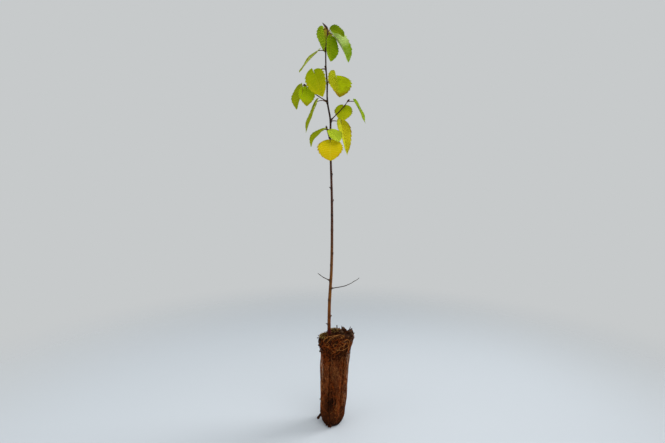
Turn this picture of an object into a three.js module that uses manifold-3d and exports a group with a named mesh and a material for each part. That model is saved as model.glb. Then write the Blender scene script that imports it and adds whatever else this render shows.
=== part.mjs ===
// Birch sapling raised in a tray cell: a root plug, one slender stem and a small crown of leaves.
// Units are millimetres and +Z is up. The origin is the middle of the plug's flat underside.
// Seen from the front, +X is to the right and +Y points away.
import * as THREE from 'three';
import { mergeVertices } from 'three/addons/utils/BufferGeometryUtils.js';
import Module from 'manifold-3d';

const wasm = await Module();
wasm.setup();

// A "turn" is an angle about +Z in degrees: RIGHT, BACK, LEFT and FRONT name the quarters.
// A "rise" is an angle above the horizon in degrees, and a negative rise hangs down.
const RIGHT = 0;
const BACK = 90;
const LEFT = 180;
const FRONT = 270;

// Clear gap between two pieces that grow from each other
const SEAT_GAP = 0.3;
// Vertices nearer than this are one vertex
const MERGE = 1e-4;

// Root plug: a fluted, tapering cylinder of peat and roots that keeps the shape of its cell
const PLUG = {
  height: 130,
  rimAcross: 51,
  rimRound: 2,
  collar: 7.3,
  shoulderAcross: 43.6,
  shoulderDrop: 22,
  footAcross: 36,
  footHeight: 13,
  heelAcross: 31.8,
  heelHeight: 5.2,
  undersideAcross: 25,
  lean: 6.2,
  seatAcross: 30,
  rimTilt: 3.2,
  rimTiltTurn: 25,
  sides: 60,
  wallRings: 6,
};
// Upright grooves that the ribs of the cell leave in the plug
const FLUTES = { count: 6, turn: 247, depth: 1.6, sharpness: 9 };
// Waves that make the plug's wall uneven: swell in or out, lobes round it, height for one radian, phase
const LUMPS = [
  { swell: 0.45, lobes: 3, rate: 17, phase: 0 },
  { swell: 0.27, lobes: 7, rate: -9, phase: 1 },
  { swell: 0.18, lobes: 11, rate: 5, phase: 2 },
];
// Root end that hangs out of the plug beside its foot
const ROOT_STUB = { height: 15, turn: 184, rise: -50, length: 13, radius: 2, tip: 1.8, sunk: 4 };
const SPLINTER = { sides: 5, steps: 2 };
// Clumps of moss and grit on the crown of the plug: reach from its middle, width, depth and height
const TUFTS = [
  { turn: 101, reach: 14, width: 11, depth: 9, height: 8 },
  { turn: 50, reach: 18, width: 9, depth: 9, height: 9 },
  { turn: 4, reach: 20, width: 7, depth: 10, height: 8 },
  { turn: 186, reach: 19, width: 8, depth: 12, height: 6 },
  { turn: 318, reach: 20, width: 9, depth: 7, height: 4 },
];
const CLUMP = { sides: 8, rings: 6 };
// Stalks of moss and old roots that stand up out of the rim
const STRAWS = [
  { turn: 84, reach: 13, rise: 66, length: 13, radius: 0.7, tip: 0.5, sunk: 4 },
  { turn: 16, reach: 19, rise: 54, length: 14, radius: 0.65, tip: 0.45, sunk: 4 },
  { turn: 188, reach: 22, rise: 12, length: 9, radius: 0.7, tip: 0.5, sunk: 4 },
];

// Stem: its radius thins from the root flare to the tip, and it kinks at each leaf node
const STEM = {
  foot: PLUG.height + SEAT_GAP,
  flareRadius: 3.2,
  flareHeight: 8,
  footRadius: 2.5,
  tipRadius: 0.85,
  sides: 10,
  steps: 52,
};
const STEM_PATH = [
  { height: STEM.foot, sway: -4.4, depth: 0 },
  { height: 178, sway: -3.6, depth: 0.6 },
  { height: 232, sway: -0.6, depth: 1.2 },
  { height: 326, sway: -0.1, depth: 0.4 },
  { height: 414, sway: -2.4, depth: 0 },
  { height: 440, sway: -2.2, depth: 0.8 },
  { height: 466, sway: -6.3, depth: 0.2 },
  { height: 492, sway: -6.8, depth: -0.4 },
  { height: 513, sway: -8.4, depth: 0.3 },
  { height: 535, sway: -8.6, depth: 0.4 },
  { height: 554, sway: -6.9, depth: -0.2 },
  { height: 566.5, sway: -5.6, depth: 0 },
];
const TIP_BUD = { turn: LEFT, rise: 48, length: 12, radius: 1.5, below: 0.8 };
// Side buds and old leaf scars, bottom to top
const STEM_BUDS = [
  { height: 146, turn: LEFT, rise: 16, length: 3.4, radius: 0.75 },
  { height: 157, turn: RIGHT, rise: 48, length: 3.4, radius: 1.1 },
  { height: 182, turn: LEFT + 20, rise: 45, length: 1.4, radius: 0.9 },
  { height: 233, turn: LEFT - 20, rise: 50, length: 1.4, radius: 0.8 },
  { height: 250, turn: RIGHT + 15, rise: 50, length: 1.6, radius: 0.9 },
  { height: 284, turn: BACK, rise: 55, length: 2.4, radius: 0.9 },
  { height: 306, turn: FRONT - 30, rise: 60, length: 2.4, radius: 0.9 },
  { height: 325, turn: RIGHT + 10, rise: 66, length: 4.2, radius: 1.0 },
  { height: 344, turn: LEFT, rise: 40, length: 3.6, radius: 0.8 },
  { height: 363, turn: RIGHT - 25, rise: 60, length: 2.6, radius: 1.0 },
  { height: 388, turn: BACK + 20, rise: 60, length: 3.2, radius: 1.0 },
  { height: 513, turn: LEFT - 40, rise: 62, length: 4.2, radius: 1.1 },
  { height: 538, turn: LEFT - 60, rise: 62, length: 4.2, radius: 1.1 },
];
const BUD = { sides: 6, rings: 5, footShare: 0.6 };

// Dead bare twigs low on the stem
const DEAD_TWIGS = [
  { name: 'dead_twig_left', height: 210, turn: LEFT, rise: 24, endRise: 38,
    length: 19, radius: 0.65, tip: 0.4 },
  { name: 'dead_twig_right', height: 199, turn: RIGHT, rise: 4, endRise: 38,
    length: 44, radius: 0.75, tip: 0.35 },
];
const TWIG = { sides: 6, steps: 8 };

// Leaf blade: an ovate outline with a rounded base, forward teeth and a fold along the midrib
const LEAF = {
  teeth: 8,
  toothDepth: 0.1,
  baseFullness: 0.52,
  tipTaper: 0.86,
  baseCrowding: 1.5,
  lobe: 0.12,
  lobeFade: 4,
  thickness: 0.6,
  narrowest: 0.5,
  across: 4,
  ripple: 0.9,
  rippleRate: 9,
  rippleWidth: 4,
  midribSteps: 24,
};
const STALK = { radius: 0.6, sink: 2.5, sides: 5, steps: 6 };

// Single leaves that grow straight from the stem. turn, rise, droop and stalk place the leaf stalk,
// and face, pitch, bend, roll, fold, length, width and taper shape the blade that hangs from it.
// oblique is how much further back the right half's lobe reaches, as a share of the length.
const STEM_LEAVES = [
  { name: 'leaf_top_left', tint: 'green', height: 564, turn: 112, rise: 40, droop: 14, stalk: 16,
    face: 290, pitch: -80, bend: 6, roll: -18, fold: 10, length: 34, width: 30, taper: 0.75 },
  { name: 'leaf_top_crest', tint: 'green', height: 562, turn: 312, rise: 10, droop: -10, stalk: 6,
    face: 4, pitch: -10, bend: 34, roll: 70, fold: 28, length: 21, width: 15.5 },
  { name: 'leaf_top_right', tint: 'green', height: 558.5, turn: 8, rise: 20, droop: -24, stalk: 7,
    face: 356, pitch: -50, bend: 22, roll: 44, fold: 38, length: 45, width: 29 },
  { name: 'leaf_top_front', tint: 'green', height: 553, turn: 312, rise: 14, droop: -68, stalk: 10,
    face: 264, pitch: -80, bend: 6, roll: -42, fold: 24, length: 33, width: 23, taper: 0.7 },
  { name: 'leaf_high_left', tint: 'lime', height: 536, turn: 184, rise: 10, droop: -14, stalk: 10,
    face: 182, pitch: -42, bend: 14, roll: -20, fold: 8, length: 40, width: 27 },
  { name: 'leaf_mid_left', tint: 'lime', height: 511, turn: 192, rise: 2, droop: -50, stalk: 18.5,
    face: 330, pitch: -66, bend: 4, roll: 82, fold: 26, length: 37.5, width: 33, oblique: 0.1 },
  { name: 'leaf_mid_right', tint: 'lime', height: 491, turn: 330, rise: 40, droop: -6, stalk: 15,
    face: 300, pitch: -70, bend: 8, roll: 4, fold: 22, length: 30.5, width: 38, taper: 0.74, oblique: 0.22 },
  { name: 'leaf_low_left', tint: 'lime', height: 465, turn: 192, rise: 24, droop: -30, stalk: 15,
    face: 182, pitch: -66, bend: 8, roll: -16, fold: 9, length: 46, width: 28 },
  { name: 'leaf_low_right', tint: 'lime', height: 439, turn: 40, rise: 16, droop: -10, stalk: 18,
    face: 322, pitch: -74, bend: 4, roll: 0, fold: 16, length: 50, width: 34, taper: 1.3 },
  { name: 'leaf_yellow_front', tint: 'yellow', height: 411, turn: FRONT, rise: 8, droop: -40, stalk: 12,
    face: FRONT, pitch: -56, bend: 16, roll: 0, fold: 8, length: 31.5, width: 35, taper: 0.7 },
];

// Side shoots with their leaves and end bud. at is the share of the shoot's length where a leaf stands.
const SPRAYS = [
  { name: 'spray_left', tint: 'green', height: 466, turn: 156, rise: 32, endRise: 44,
    length: 44, radius: 0.8, tip: 0.6,
    leaves: [
      { at: 0.68, turn: 232, rise: 20, droop: -10, stalk: 9,
        face: 272, pitch: -68, bend: 10, roll: 0, fold: 12, length: 28.5, width: 24 },
      { at: 0.97, turn: 205, rise: -4, droop: -24, stalk: 7.4,
        face: 214, pitch: -76, bend: 6, roll: -6, fold: 16, length: 35, width: 27 },
    ] },
  { name: 'spray_right', tint: 'lime', height: 440, turn: 22, rise: 44, endRise: 52,
    length: 38.5, radius: 0.8, tip: 0.55,
    leaves: [
      { at: 0.72, turn: 96, rise: 20, droop: 0, stalk: 3.6,
        face: 262, pitch: -66, bend: 14, roll: -6, fold: 10, length: 23, width: 26, taper: 0.7 },
      { at: 0.97, turn: 350, rise: 0, droop: -6, stalk: 10.4,
        face: 2, pitch: -60, bend: 8, roll: 23, fold: 8, length: 35, width: 24, taper: 1.2 },
    ] },
  { name: 'spray_low', tint: 'lime', height: 412, turn: 236, rise: 56, endRise: 66,
    length: 13, radius: 0.75, tip: 0.6,
    leaves: [
      { at: 0.9, turn: 190, rise: 4, droop: -10, stalk: 4,
        face: 188, pitch: -24, bend: 58, roll: -20, fold: 12, length: 32, width: 24 },
      { at: 0.94, turn: 318, rise: -12, droop: -30, stalk: 8,
        face: 318, pitch: -42, bend: 18, roll: 22, fold: 12, length: 23, width: 22, taper: 0.75 },
    ] },
];
const SHOOT_BUD = { at: 0.97, length: 4.8, radius: 1.4 };
// Each leaf of a mass starts its ripple this much further on
const RIPPLE_STEP = 2;

// Finishes
const finish = (color, roughness) => new THREE.MeshStandardMaterial({ color, roughness, metalness: 0 });
const PEAT = finish(0x3a2012, 0.95);
const BARK = finish(0x5a3018, 0.6);
const DEAD_BARK = finish(0x5d544c, 0.8);
const LEAF_TINTS = {
  green: finish(0x6f8a10, 0.5),
  lime: finish(0x95a414, 0.5),
  yellow: finish(0xbfab16, 0.5),
};

const radians = THREE.MathUtils.degToRad;
const { lerp, smoothstep } = THREE.MathUtils;

// Unit vector at a turn about +Z and a rise above the horizon
function direction(turn, rise) {
  const flat = Math.cos(radians(rise));
  return new THREE.Vector3(
    flat * Math.cos(radians(turn)),
    flat * Math.sin(radians(turn)),
    Math.sin(radians(rise)),
  );
}

// Closed solid from a geometry, with its shared vertices merged and its collapsed triangles dropped
function solidOf(geometry) {
  const bare = geometry.clone();
  bare.deleteAttribute('normal');
  bare.deleteAttribute('uv');
  const merged = mergeVertices(bare, MERGE);
  const kept = [];
  const corners = merged.index.array;
  for (let i = 0; i < corners.length; i += 3) {
    const [a, b, c] = corners.subarray(i, i + 3);
    if (a !== b && b !== c && c !== a) kept.push(a, b, c);
  }
  return new wasm.Manifold(new wasm.Mesh({
    numProp: 3,
    vertProperties: merged.attributes.position.array,
    triVerts: new Uint32Array(kept),
  }));
}

// Geometry of a solid, ready for a mesh
function geometryOf(solid) {
  const data = solid.getMesh();
  const geometry = new THREE.BufferGeometry();
  geometry.setAttribute('position', new THREE.BufferAttribute(new Float32Array(data.vertProperties), 3));
  geometry.setIndex(new THREE.BufferAttribute(new Uint32Array(data.triVerts), 1));
  geometry.computeVertexNormals();
  return geometry;
}

function pieceOf(name, solid, material) {
  const mesh = new THREE.Mesh(geometryOf(solid), material);
  mesh.name = name;
  return mesh;
}

const joined = (solids) => solids.reduce((whole, next) => whole.add(next));

// Moves every vertex of a geometry to the place that a function gives for it
function carried(geometry, placeOf) {
  const position = geometry.attributes.position;
  const vertex = new THREE.Vector3();
  for (let i = 0; i < position.count; i += 1) {
    vertex.fromBufferAttribute(position, i);
    position.setXYZ(i, ...placeOf(vertex).toArray());
  }
  return geometry;
}

// Tapering limb: a unit cylinder carried along a curve, with its radius given along the length
function limb(curve, radiusAt, sides, steps) {
  const frames = curve.computeFrenetFrames(steps, false);
  const cylinder = new THREE.CylinderGeometry(1, 1, 1, sides, steps);
  return solidOf(carried(cylinder, (vertex) => {
    const along = vertex.y + 0.5;
    const ring = Math.round(along * steps);
    const radius = radiusAt(along);
    return curve.getPointAt(along)
      .addScaledVector(frames.normals[ring], vertex.z * radius)
      .addScaledVector(frames.binormals[ring], vertex.x * radius);
  }));
}

// Arc that sets out along one direction and ends along another
function arc(start, outward, ending, length) {
  const middle = start.clone().addScaledVector(outward, length / 2);
  const end = middle.clone().addScaledVector(ending, length / 2);
  return new THREE.QuadraticBezierCurve3(start, middle, end);
}

const tapering = ({ radius, tip }) => (along) => lerp(radius, tip, along);

// Bud: a slim ellipsoid that leans out of its limb
function bud(place, outward, length, radius) {
  const egg = new THREE.SphereGeometry(1, BUD.sides, BUD.rings);
  egg.scale(radius, length / 2, radius);
  egg.applyQuaternion(new THREE.Quaternion().setFromUnitVectors(new THREE.Vector3(0, 1, 0), outward));
  const centre = place.clone().addScaledVector(outward, length / 2);
  egg.translate(centre.x, centre.y, centre.z);
  return solidOf(egg);
}

// Stem
const stemCurve = new THREE.CatmullRomCurve3(
  STEM_PATH.map(({ height, sway, depth }) => new THREE.Vector3(sway, depth, height)),
);
const stemTop = STEM_PATH.at(-1).height;

// Point of the stem's axis at a height, found by halving
function stemAt(height) {
  const halvings = 24;
  let low = 0;
  let high = 1;
  const point = new THREE.Vector3();
  for (let i = 0; i < halvings; i += 1) {
    const middle = (low + high) / 2;
    stemCurve.getPointAt(middle, point);
    if (point.z < height) low = middle;
    else high = middle;
  }
  return point;
}

function stemRadius(height) {
  const share = (height - STEM.foot) / (stemTop - STEM.foot);
  const flare = 1 - smoothstep(height, STEM.foot, STEM.foot + STEM.flareHeight);
  return lerp(STEM.footRadius, STEM.tipRadius, share) + flare * (STEM.flareRadius - STEM.footRadius);
}

// Shaft of the stem: rings stay level, so that its foot is a flat cut
function stemShaft() {
  const cylinder = new THREE.CylinderGeometry(1, 1, 1, STEM.sides, STEM.steps);
  cylinder.rotateX(Math.PI / 2);
  return solidOf(carried(cylinder, ({ x, y, z }) => {
    const point = stemCurve.getPointAt(z + 0.5);
    const radius = stemRadius(point.z);
    return new THREE.Vector3(point.x + x * radius, point.y + y * radius, point.z);
  }));
}

function stem() {
  const sideBuds = STEM_BUDS.map(({ height, turn, rise, length, radius }) => {
    const skin = direction(turn, 0).multiplyScalar(stemRadius(height) * BUD.footShare);
    return bud(stemAt(height).add(skin), direction(turn, rise), length, radius);
  });
  const { turn, rise, length, radius, below } = TIP_BUD;
  const tip = bud(stemAt(stemTop - below), direction(turn, rise), length, radius);
  return joined([stemShaft(), ...sideBuds, tip]);
}

// Start of a stalk or twig whose foot stands the seat gap clear of the stem
function seatOnStem({ height, turn, rise }, footRadius) {
  const slope = radians(rise);
  const reach = (stemRadius(height) + SEAT_GAP + footRadius * Math.abs(Math.sin(slope))) / Math.cos(slope);
  return stemAt(height).addScaledVector(direction(turn, rise), reach);
}

// Half width of a blade as a share of its widest, from its base at 0 to its tip at 1
function outlineShare(along, taper) {
  const egg = (at) => at ** LEAF.baseFullness * (1 - at) ** taper;
  return egg(along) / egg(LEAF.baseFullness / (LEAF.baseFullness + taper));
}

// Midrib of a blade: equal steps whose heading bends down evenly
function midribOf(base, { face, pitch, bend, length }) {
  const steps = LEAF.midribSteps;
  const points = [base.clone()];
  for (let i = 0; i < steps; i += 1) {
    const heading = direction(face, pitch - bend * ((i + 0.5) / steps));
    points.push(points[i].clone().addScaledVector(heading, length / steps));
  }
  return (along) => {
    const spot = along * steps;
    const cell = Math.min(Math.floor(spot), steps - 1);
    return points[cell].clone().lerp(points[cell + 1], spot - cell);
  };
}

// Blade: a flat box carried on to a curved midrib, folded along it and cut to the toothed outline.
// Its rows crowd together towards the rounded base.
function blade(base, shape, ripplePhase) {
  const { face, pitch, bend, roll, fold, length, width, taper = LEAF.tipTaper, oblique = 0 } = shape;
  const rows = LEAF.teeth * 2;
  const midrib = midribOf(base, shape);
  const box = new THREE.BoxGeometry(2, rows, 1, LEAF.across, rows, 1);
  return solidOf(carried(box, ({ x: across, y, z: layer }) => {
    const row = Math.round(y + rows / 2);
    const along = (row / rows) ** LEAF.baseCrowding;
    const heading = direction(face, pitch - bend * along);
    const right = direction(face - 90, 0).applyAxisAngle(heading, radians(roll));
    const upper = new THREE.Vector3().crossVectors(right, heading);
    const tooth = 1 + LEAF.toothDepth * ((row % 2) - 0.5);
    const half = Math.max((width / 2) * outlineShare(along, taper) * tooth, LEAF.narrowest);
    const wave = Math.sin(ripplePhase + LEAF.rippleRate * along + across);
    const ripple = LEAF.ripple * across ** 2 * wave * Math.min(1, half / LEAF.rippleWidth);
    const lift = half * Math.abs(across) * Math.sin(radians(fold)) + ripple;
    const lobe = across > 0 ? LEAF.lobe + oblique : LEAF.lobe;
    const back = lobe * length * across ** 2 * (1 - along) ** LEAF.lobeFade;
    return midrib(along)
      .addScaledVector(heading, -back)
      .addScaledVector(right, half * across * Math.cos(radians(fold)))
      .addScaledVector(upper, lift + layer * LEAF.thickness);
  }));
}

// Leaf: a stalk that arcs outwards and ends inside the blade that it carries
function leaf(start, shape, ripplePhase) {
  const { turn, rise, droop, stalk: reach, face, pitch } = shape;
  const outward = arc(start, direction(turn, rise), direction(turn, droop), reach);
  const base = outward.getPointAt(1);
  const sunk = new THREE.CatmullRomCurve3([
    ...outward.getSpacedPoints(STALK.steps - 1),
    base.clone().addScaledVector(direction(face, pitch), STALK.sink),
  ]);
  const stalk = limb(sunk, () => STALK.radius, STALK.sides, STALK.steps);
  return stalk.add(blade(base, shape, ripplePhase));
}

// Curve of a twig that grows out of the stem and bends from one rise to another
function twigCurve(twig) {
  const { turn, rise, endRise, length, radius } = twig;
  return arc(seatOnStem(twig, radius), direction(turn, rise), direction(turn, endRise), length);
}

const twigLimb = (twig) => limb(twigCurve(twig), tapering(twig), TWIG.sides, TWIG.steps);

// Side shoot with its leaves and its end bud as one solid
function spray(shoot, seed) {
  const curve = twigCurve(shoot);
  const { at, length, radius } = SHOOT_BUD;
  const tipBud = bud(curve.getPointAt(at), direction(shoot.turn, shoot.endRise), length, radius);
  const leaves = shoot.leaves.map((shape, i) => (
    leaf(curve.getPointAt(shape.at), shape, seed + RIPPLE_STEP * i)
  ));
  return joined([twigLimb(shoot), tipBud, ...leaves]);
}

// Root plug
function fluteDepth(turn) {
  const wave = 0.5 + 0.5 * Math.cos(FLUTES.count * (turn - radians(FLUTES.turn)));
  return FLUTES.depth * wave ** FLUTES.sharpness;
}

const lumpHeight = (turn, height) => LUMPS.reduce((sum, { swell, lobes, rate, phase }) => (
  sum + swell * Math.sin(lobes * turn + height / rate + phase)
), 0);

// Radius and height of each ring of the plug, from the underside's middle to the crown's middle
function plugProfile() {
  const shoulder = PLUG.height - PLUG.shoulderDrop;
  const wall = [];
  for (let i = 0; i <= PLUG.wallRings; i += 1) {
    const share = i / PLUG.wallRings;
    const across = lerp(PLUG.footAcross, PLUG.shoulderAcross, share);
    wall.push([across / 2, lerp(PLUG.footHeight, shoulder, share)]);
  }
  return [
    [0, 0],
    [PLUG.undersideAcross / 2, 0],
    [PLUG.heelAcross / 2, PLUG.heelHeight],
    ...wall,
    [PLUG.rimAcross / 2, PLUG.height - PLUG.collar],
    [PLUG.rimAcross / 2, PLUG.height - PLUG.rimRound],
    [PLUG.rimAcross / 2 - PLUG.rimRound, PLUG.height],
    [PLUG.seatAcross / 2, PLUG.height],
    [0, PLUG.height],
  ].map(([radius, height]) => new THREE.Vector2(radius, height));
}

const plugShift = (height) => PLUG.lean * (height / PLUG.height);

// Wall and crown of the plug: a lathed profile, fluted, lumped, leaned and higher on one side of its rim
function plugBody() {
  const lathe = new THREE.LatheGeometry(plugProfile(), PLUG.sides);
  lathe.rotateX(Math.PI / 2);
  const flat = PLUG.seatAcross / 2;
  return solidOf(carried(lathe, ({ x, y, z }) => {
    const turn = Math.atan2(y, x);
    const radius = Math.hypot(x, y);
    const rise = smoothstep(z, 0, PLUG.footHeight);
    const outside = smoothstep(radius, flat, PLUG.rimAcross / 2);
    const onCrown = smoothstep(z, PLUG.height / 2, PLUG.height);
    const inset = z === PLUG.height && radius <= flat;
    const grown = radius + (inset ? 0 : rise * (lumpHeight(turn, z) - fluteDepth(turn)));
    const tilt = PLUG.rimTilt * onCrown * outside * Math.cos(turn - radians(PLUG.rimTiltTurn));
    return new THREE.Vector3(grown * Math.cos(turn) + plugShift(z), grown * Math.sin(turn), z + tilt);
  }));
}

// Point on the crown of the plug at a turn and a reach from its middle
function crownPoint({ turn, reach }) {
  return direction(turn, 0).multiplyScalar(reach).add(new THREE.Vector3(PLUG.lean, 0, PLUG.height));
}

function tuft(shape) {
  const clump = new THREE.SphereGeometry(1, CLUMP.sides, CLUMP.rings);
  clump.scale(shape.width / 2, shape.height / 2, shape.depth / 2);
  clump.rotateX(Math.PI / 2);
  const { x, y, z } = crownPoint(shape);
  clump.translate(x, y, z);
  return solidOf(clump);
}

// Straight stalk whose first stretch is sunk in what it grows from
function sunkStalk(place, shape) {
  const along = direction(shape.turn, shape.rise);
  const start = place.clone().addScaledVector(along, -shape.sunk);
  const end = start.clone().addScaledVector(along, shape.length);
  return limb(new THREE.LineCurve3(start, end), tapering(shape), SPLINTER.sides, SPLINTER.steps);
}

function plug() {
  const wallRadius = lerp(PLUG.footAcross, PLUG.shoulderAcross, ROOT_STUB.height / PLUG.height) / 2;
  const stubPlace = direction(ROOT_STUB.turn, 0).multiplyScalar(wallRadius)
    .add(new THREE.Vector3(plugShift(ROOT_STUB.height), 0, ROOT_STUB.height));
  return joined([
    plugBody(),
    sunkStalk(stubPlace, ROOT_STUB),
    ...TUFTS.map(tuft),
    ...STRAWS.map((straw) => sunkStalk(crownPoint(straw), straw)),
  ]);
}

const sapling = new THREE.Group();
sapling.name = 'birch_sapling';
sapling.add(pieceOf('root_plug', plug(), PEAT));
sapling.add(pieceOf('stem', stem(), BARK));
DEAD_TWIGS.forEach((twig) => sapling.add(pieceOf(twig.name, twigLimb(twig), DEAD_BARK)));
STEM_LEAVES.forEach((shape, i) => {
  const start = seatOnStem(shape, STALK.radius);
  sapling.add(pieceOf(shape.name, leaf(start, shape, i), LEAF_TINTS[shape.tint]));
});
SPRAYS.forEach((shoot, i) => sapling.add(pieceOf(shoot.name, spray(shoot, i), LEAF_TINTS[shoot.tint])));

export default sapling;
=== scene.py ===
"""Looks of a young birch that stands on its root plug.

Sizes are in millimetres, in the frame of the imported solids: +Z up, the origin in the middle of the
plug's flat underside and, seen from the front, +X to the right and +Y away. Meshes are written in
metres. A turn is an angle about +Z and a rise an angle above the horizon, both in degrees. Colours are
8-bit sRGB.
"""

from __future__ import annotations

import logging
from dataclasses import dataclass, field
from enum import Enum
from functools import cache

import bpy
import numpy as np
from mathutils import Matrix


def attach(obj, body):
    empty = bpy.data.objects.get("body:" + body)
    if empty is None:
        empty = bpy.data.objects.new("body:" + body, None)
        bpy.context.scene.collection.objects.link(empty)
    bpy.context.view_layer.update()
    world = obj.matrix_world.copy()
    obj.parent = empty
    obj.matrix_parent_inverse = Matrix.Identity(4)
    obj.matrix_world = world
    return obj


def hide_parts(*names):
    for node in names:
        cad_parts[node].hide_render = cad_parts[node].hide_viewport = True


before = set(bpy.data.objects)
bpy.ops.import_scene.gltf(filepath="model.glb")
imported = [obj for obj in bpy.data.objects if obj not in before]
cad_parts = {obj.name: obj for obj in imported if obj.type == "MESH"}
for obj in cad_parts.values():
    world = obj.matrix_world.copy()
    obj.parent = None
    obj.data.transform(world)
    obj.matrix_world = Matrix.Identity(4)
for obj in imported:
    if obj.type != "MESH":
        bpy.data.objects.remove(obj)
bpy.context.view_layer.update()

log = logging.getLogger("birch_sapling")

Array = np.ndarray
Colour = tuple[int, int, int]
Span = tuple[float, float]
Triple = tuple[float, float, float]
Quad = tuple[float, float, float, float]
Socket = bpy.types.NodeSocket
Inputs = dict[str | int, object]

MM = 0.001
FULL_TURN = 2 * np.pi
CURVE_SAMPLES = 200
SHARP_EDGE = 55
BODY = "root"

RIGHT, BACK, LEFT, FRONT = 0, 90, 180, 270


# Arithmetic on whole arrays


def unit(vectors: Array) -> Array:
    """Vectors scaled to a length of one."""
    return vectors / np.linalg.norm(vectors, axis=-1, keepdims=True)


def direction(turn: Array | float, rise: Array | float) -> Array:
    """Unit vectors at a turn about +Z and a rise above the horizon."""
    about, above = np.broadcast_arrays(np.radians(turn), np.radians(rise))
    return np.stack([np.cos(above) * np.cos(about), np.cos(above) * np.sin(about), np.sin(above)], -1)


def apart(turn: Array, side: float) -> Array:
    """Degrees between turns in radians and a side in degrees, the short way round."""
    return np.degrees(np.angle(np.exp(1j * (turn - np.radians(side)))))


def smoothstep(value: Array | float, low: float, high: float) -> Array:
    """Smooth rise from 0 at low to 1 at high: 3s² − 2s³ of the clipped share s."""
    share = np.clip((np.asarray(value, float) - low) / (high - low), 0, 1)
    return share * share * (3 - 2 * share)


def egg_share(along: Array, fullness: float, taper: float) -> Array:
    """Half width of an egg-shaped outline: along^fullness · (1 − along)^taper, over its peak."""
    widest = fullness / (fullness + taper)
    peak = widest**fullness * (1 - widest) ** taper
    return along**fullness * (1 - along) ** taper / peak


def value_noise(around: Array, along: Array, cells: int, seed: int) -> Array:
    """Smooth noise between −1 and 1: seeded lattice numbers, blended by smoothstep between four.

    Args:
        around: Lattice coordinate that repeats every `cells`.
        along: Second lattice coordinate.
        cells: Lattice numbers in one round.
        seed: Seed of the lattice.

    Returns:
        Noise of the broadcast shape of the two coordinates.
    """
    layers = 256
    lattice = np.random.default_rng(seed).uniform(-1, 1, (cells, layers))
    around, along = np.broadcast_arrays(around, along)
    column, row = np.floor(around).astype(int), np.floor(along).astype(int)
    across, up = smoothstep(around - column, 0, 1), smoothstep(along - row, 0, 1)
    beside = (column + 1) % cells
    column = column % cells
    low, high = row % layers, (row + 1) % layers
    below = lattice[column, low] * (1 - across) + lattice[beside, low] * across
    above = lattice[column, high] * (1 - across) + lattice[beside, high] * across
    return below * (1 - up) + above * up


@dataclass(frozen=True)
class Octave:
    """A layer of noise on a round body: its height, the cells round the body, their length and a seed."""

    weight: float
    cells: int
    length: float
    seed: int

    def at(self, turn: Array, place: Array) -> Array:
        """Noise at turns in radians and at places along the body."""
        around = turn * self.cells / FULL_TURN
        return self.weight * value_noise(around, place / self.length, self.cells, self.seed)


Octaves = tuple[Octave, ...]


def layered(octaves: Octaves, turn: Array, place: Array, start: Array | float = 0) -> Array:
    """Sum of layers of noise, added to the start, at turns in radians and at places along the body."""
    return sum((octave.at(turn, place) for octave in octaves), start=start)


def arc(start: Array, outward: Array, ending: Array, length: float, shares: Array) -> Array:
    """Points of an arc: the quadratic Bézier curve of two legs that are each half the length long.

    Args:
        start: Start of the arc.
        outward: Direction of the first leg, along which it sets out.
        ending: Direction of the second leg, along which it ends.
        length: Length of both legs together.
        shares: Where the points lie, as shares of the curve's true length.

    Returns:
        One point for each share.
    """
    middle = start + outward * length / 2
    end = middle + ending * length / 2
    fine = np.linspace(0, 1, CURVE_SAMPLES)[:, None]
    curve = start * (1 - fine) ** 2 + middle * 2 * fine * (1 - fine) + end * fine**2
    return along_path(curve, shares)


def along_path(path: Array, shares: Array) -> Array:
    """Points at the given shares of a path's true length, interpolated between its points."""
    steps = np.linalg.norm(np.diff(path, axis=0), axis=1)
    travelled = np.concatenate([[0], np.cumsum(steps)]) / steps.sum()
    return np.stack([np.interp(shares, travelled, path[:, axis]) for axis in range(3)], -1)


def centripetal_curve(points: Array, per_span: int) -> Array:
    """Centripetal Catmull–Rom curve through points.

    Between two points it is the Hermite cubic whose end slopes come from the neighbouring chords, each
    weighed by the square root of its length. The end chords are mirrored past the ends.

    Args:
        points: Points that the curve passes through.
        per_span: Samples between two of them.

    Returns:
        Samples of the whole curve.
    """
    ends = np.vstack([2 * points[0] - points[1], points, 2 * points[-1] - points[-2]])
    before, low, high, after = ends[:-3], ends[1:-2], ends[2:-1], ends[3:]
    chord = np.sqrt(np.linalg.norm(np.diff(ends, axis=0), axis=1))[:, None]
    first, span, last = chord[:-2], chord[1:-1], chord[2:]
    leaving = span * ((low - before) / first - (high - before) / (first + span) + (high - low) / span)
    arriving = span * ((high - low) / span - (after - low) / (span + last) + (after - high) / last)
    s = np.linspace(0, 1, per_span, endpoint=False)[None, :, None]
    low, high, leaving, arriving = (part[:, None] for part in (low, high, leaving, arriving))
    cubic = (2 * s**3 - 3 * s**2 + 1) * low + (s**3 - 2 * s**2 + s) * leaving
    cubic = cubic + (3 * s**2 - 2 * s**3) * high + (s**3 - s**2) * arriving
    return np.vstack([cubic.reshape(-1, 3), points[-1]])


# Meshes as arrays


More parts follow.
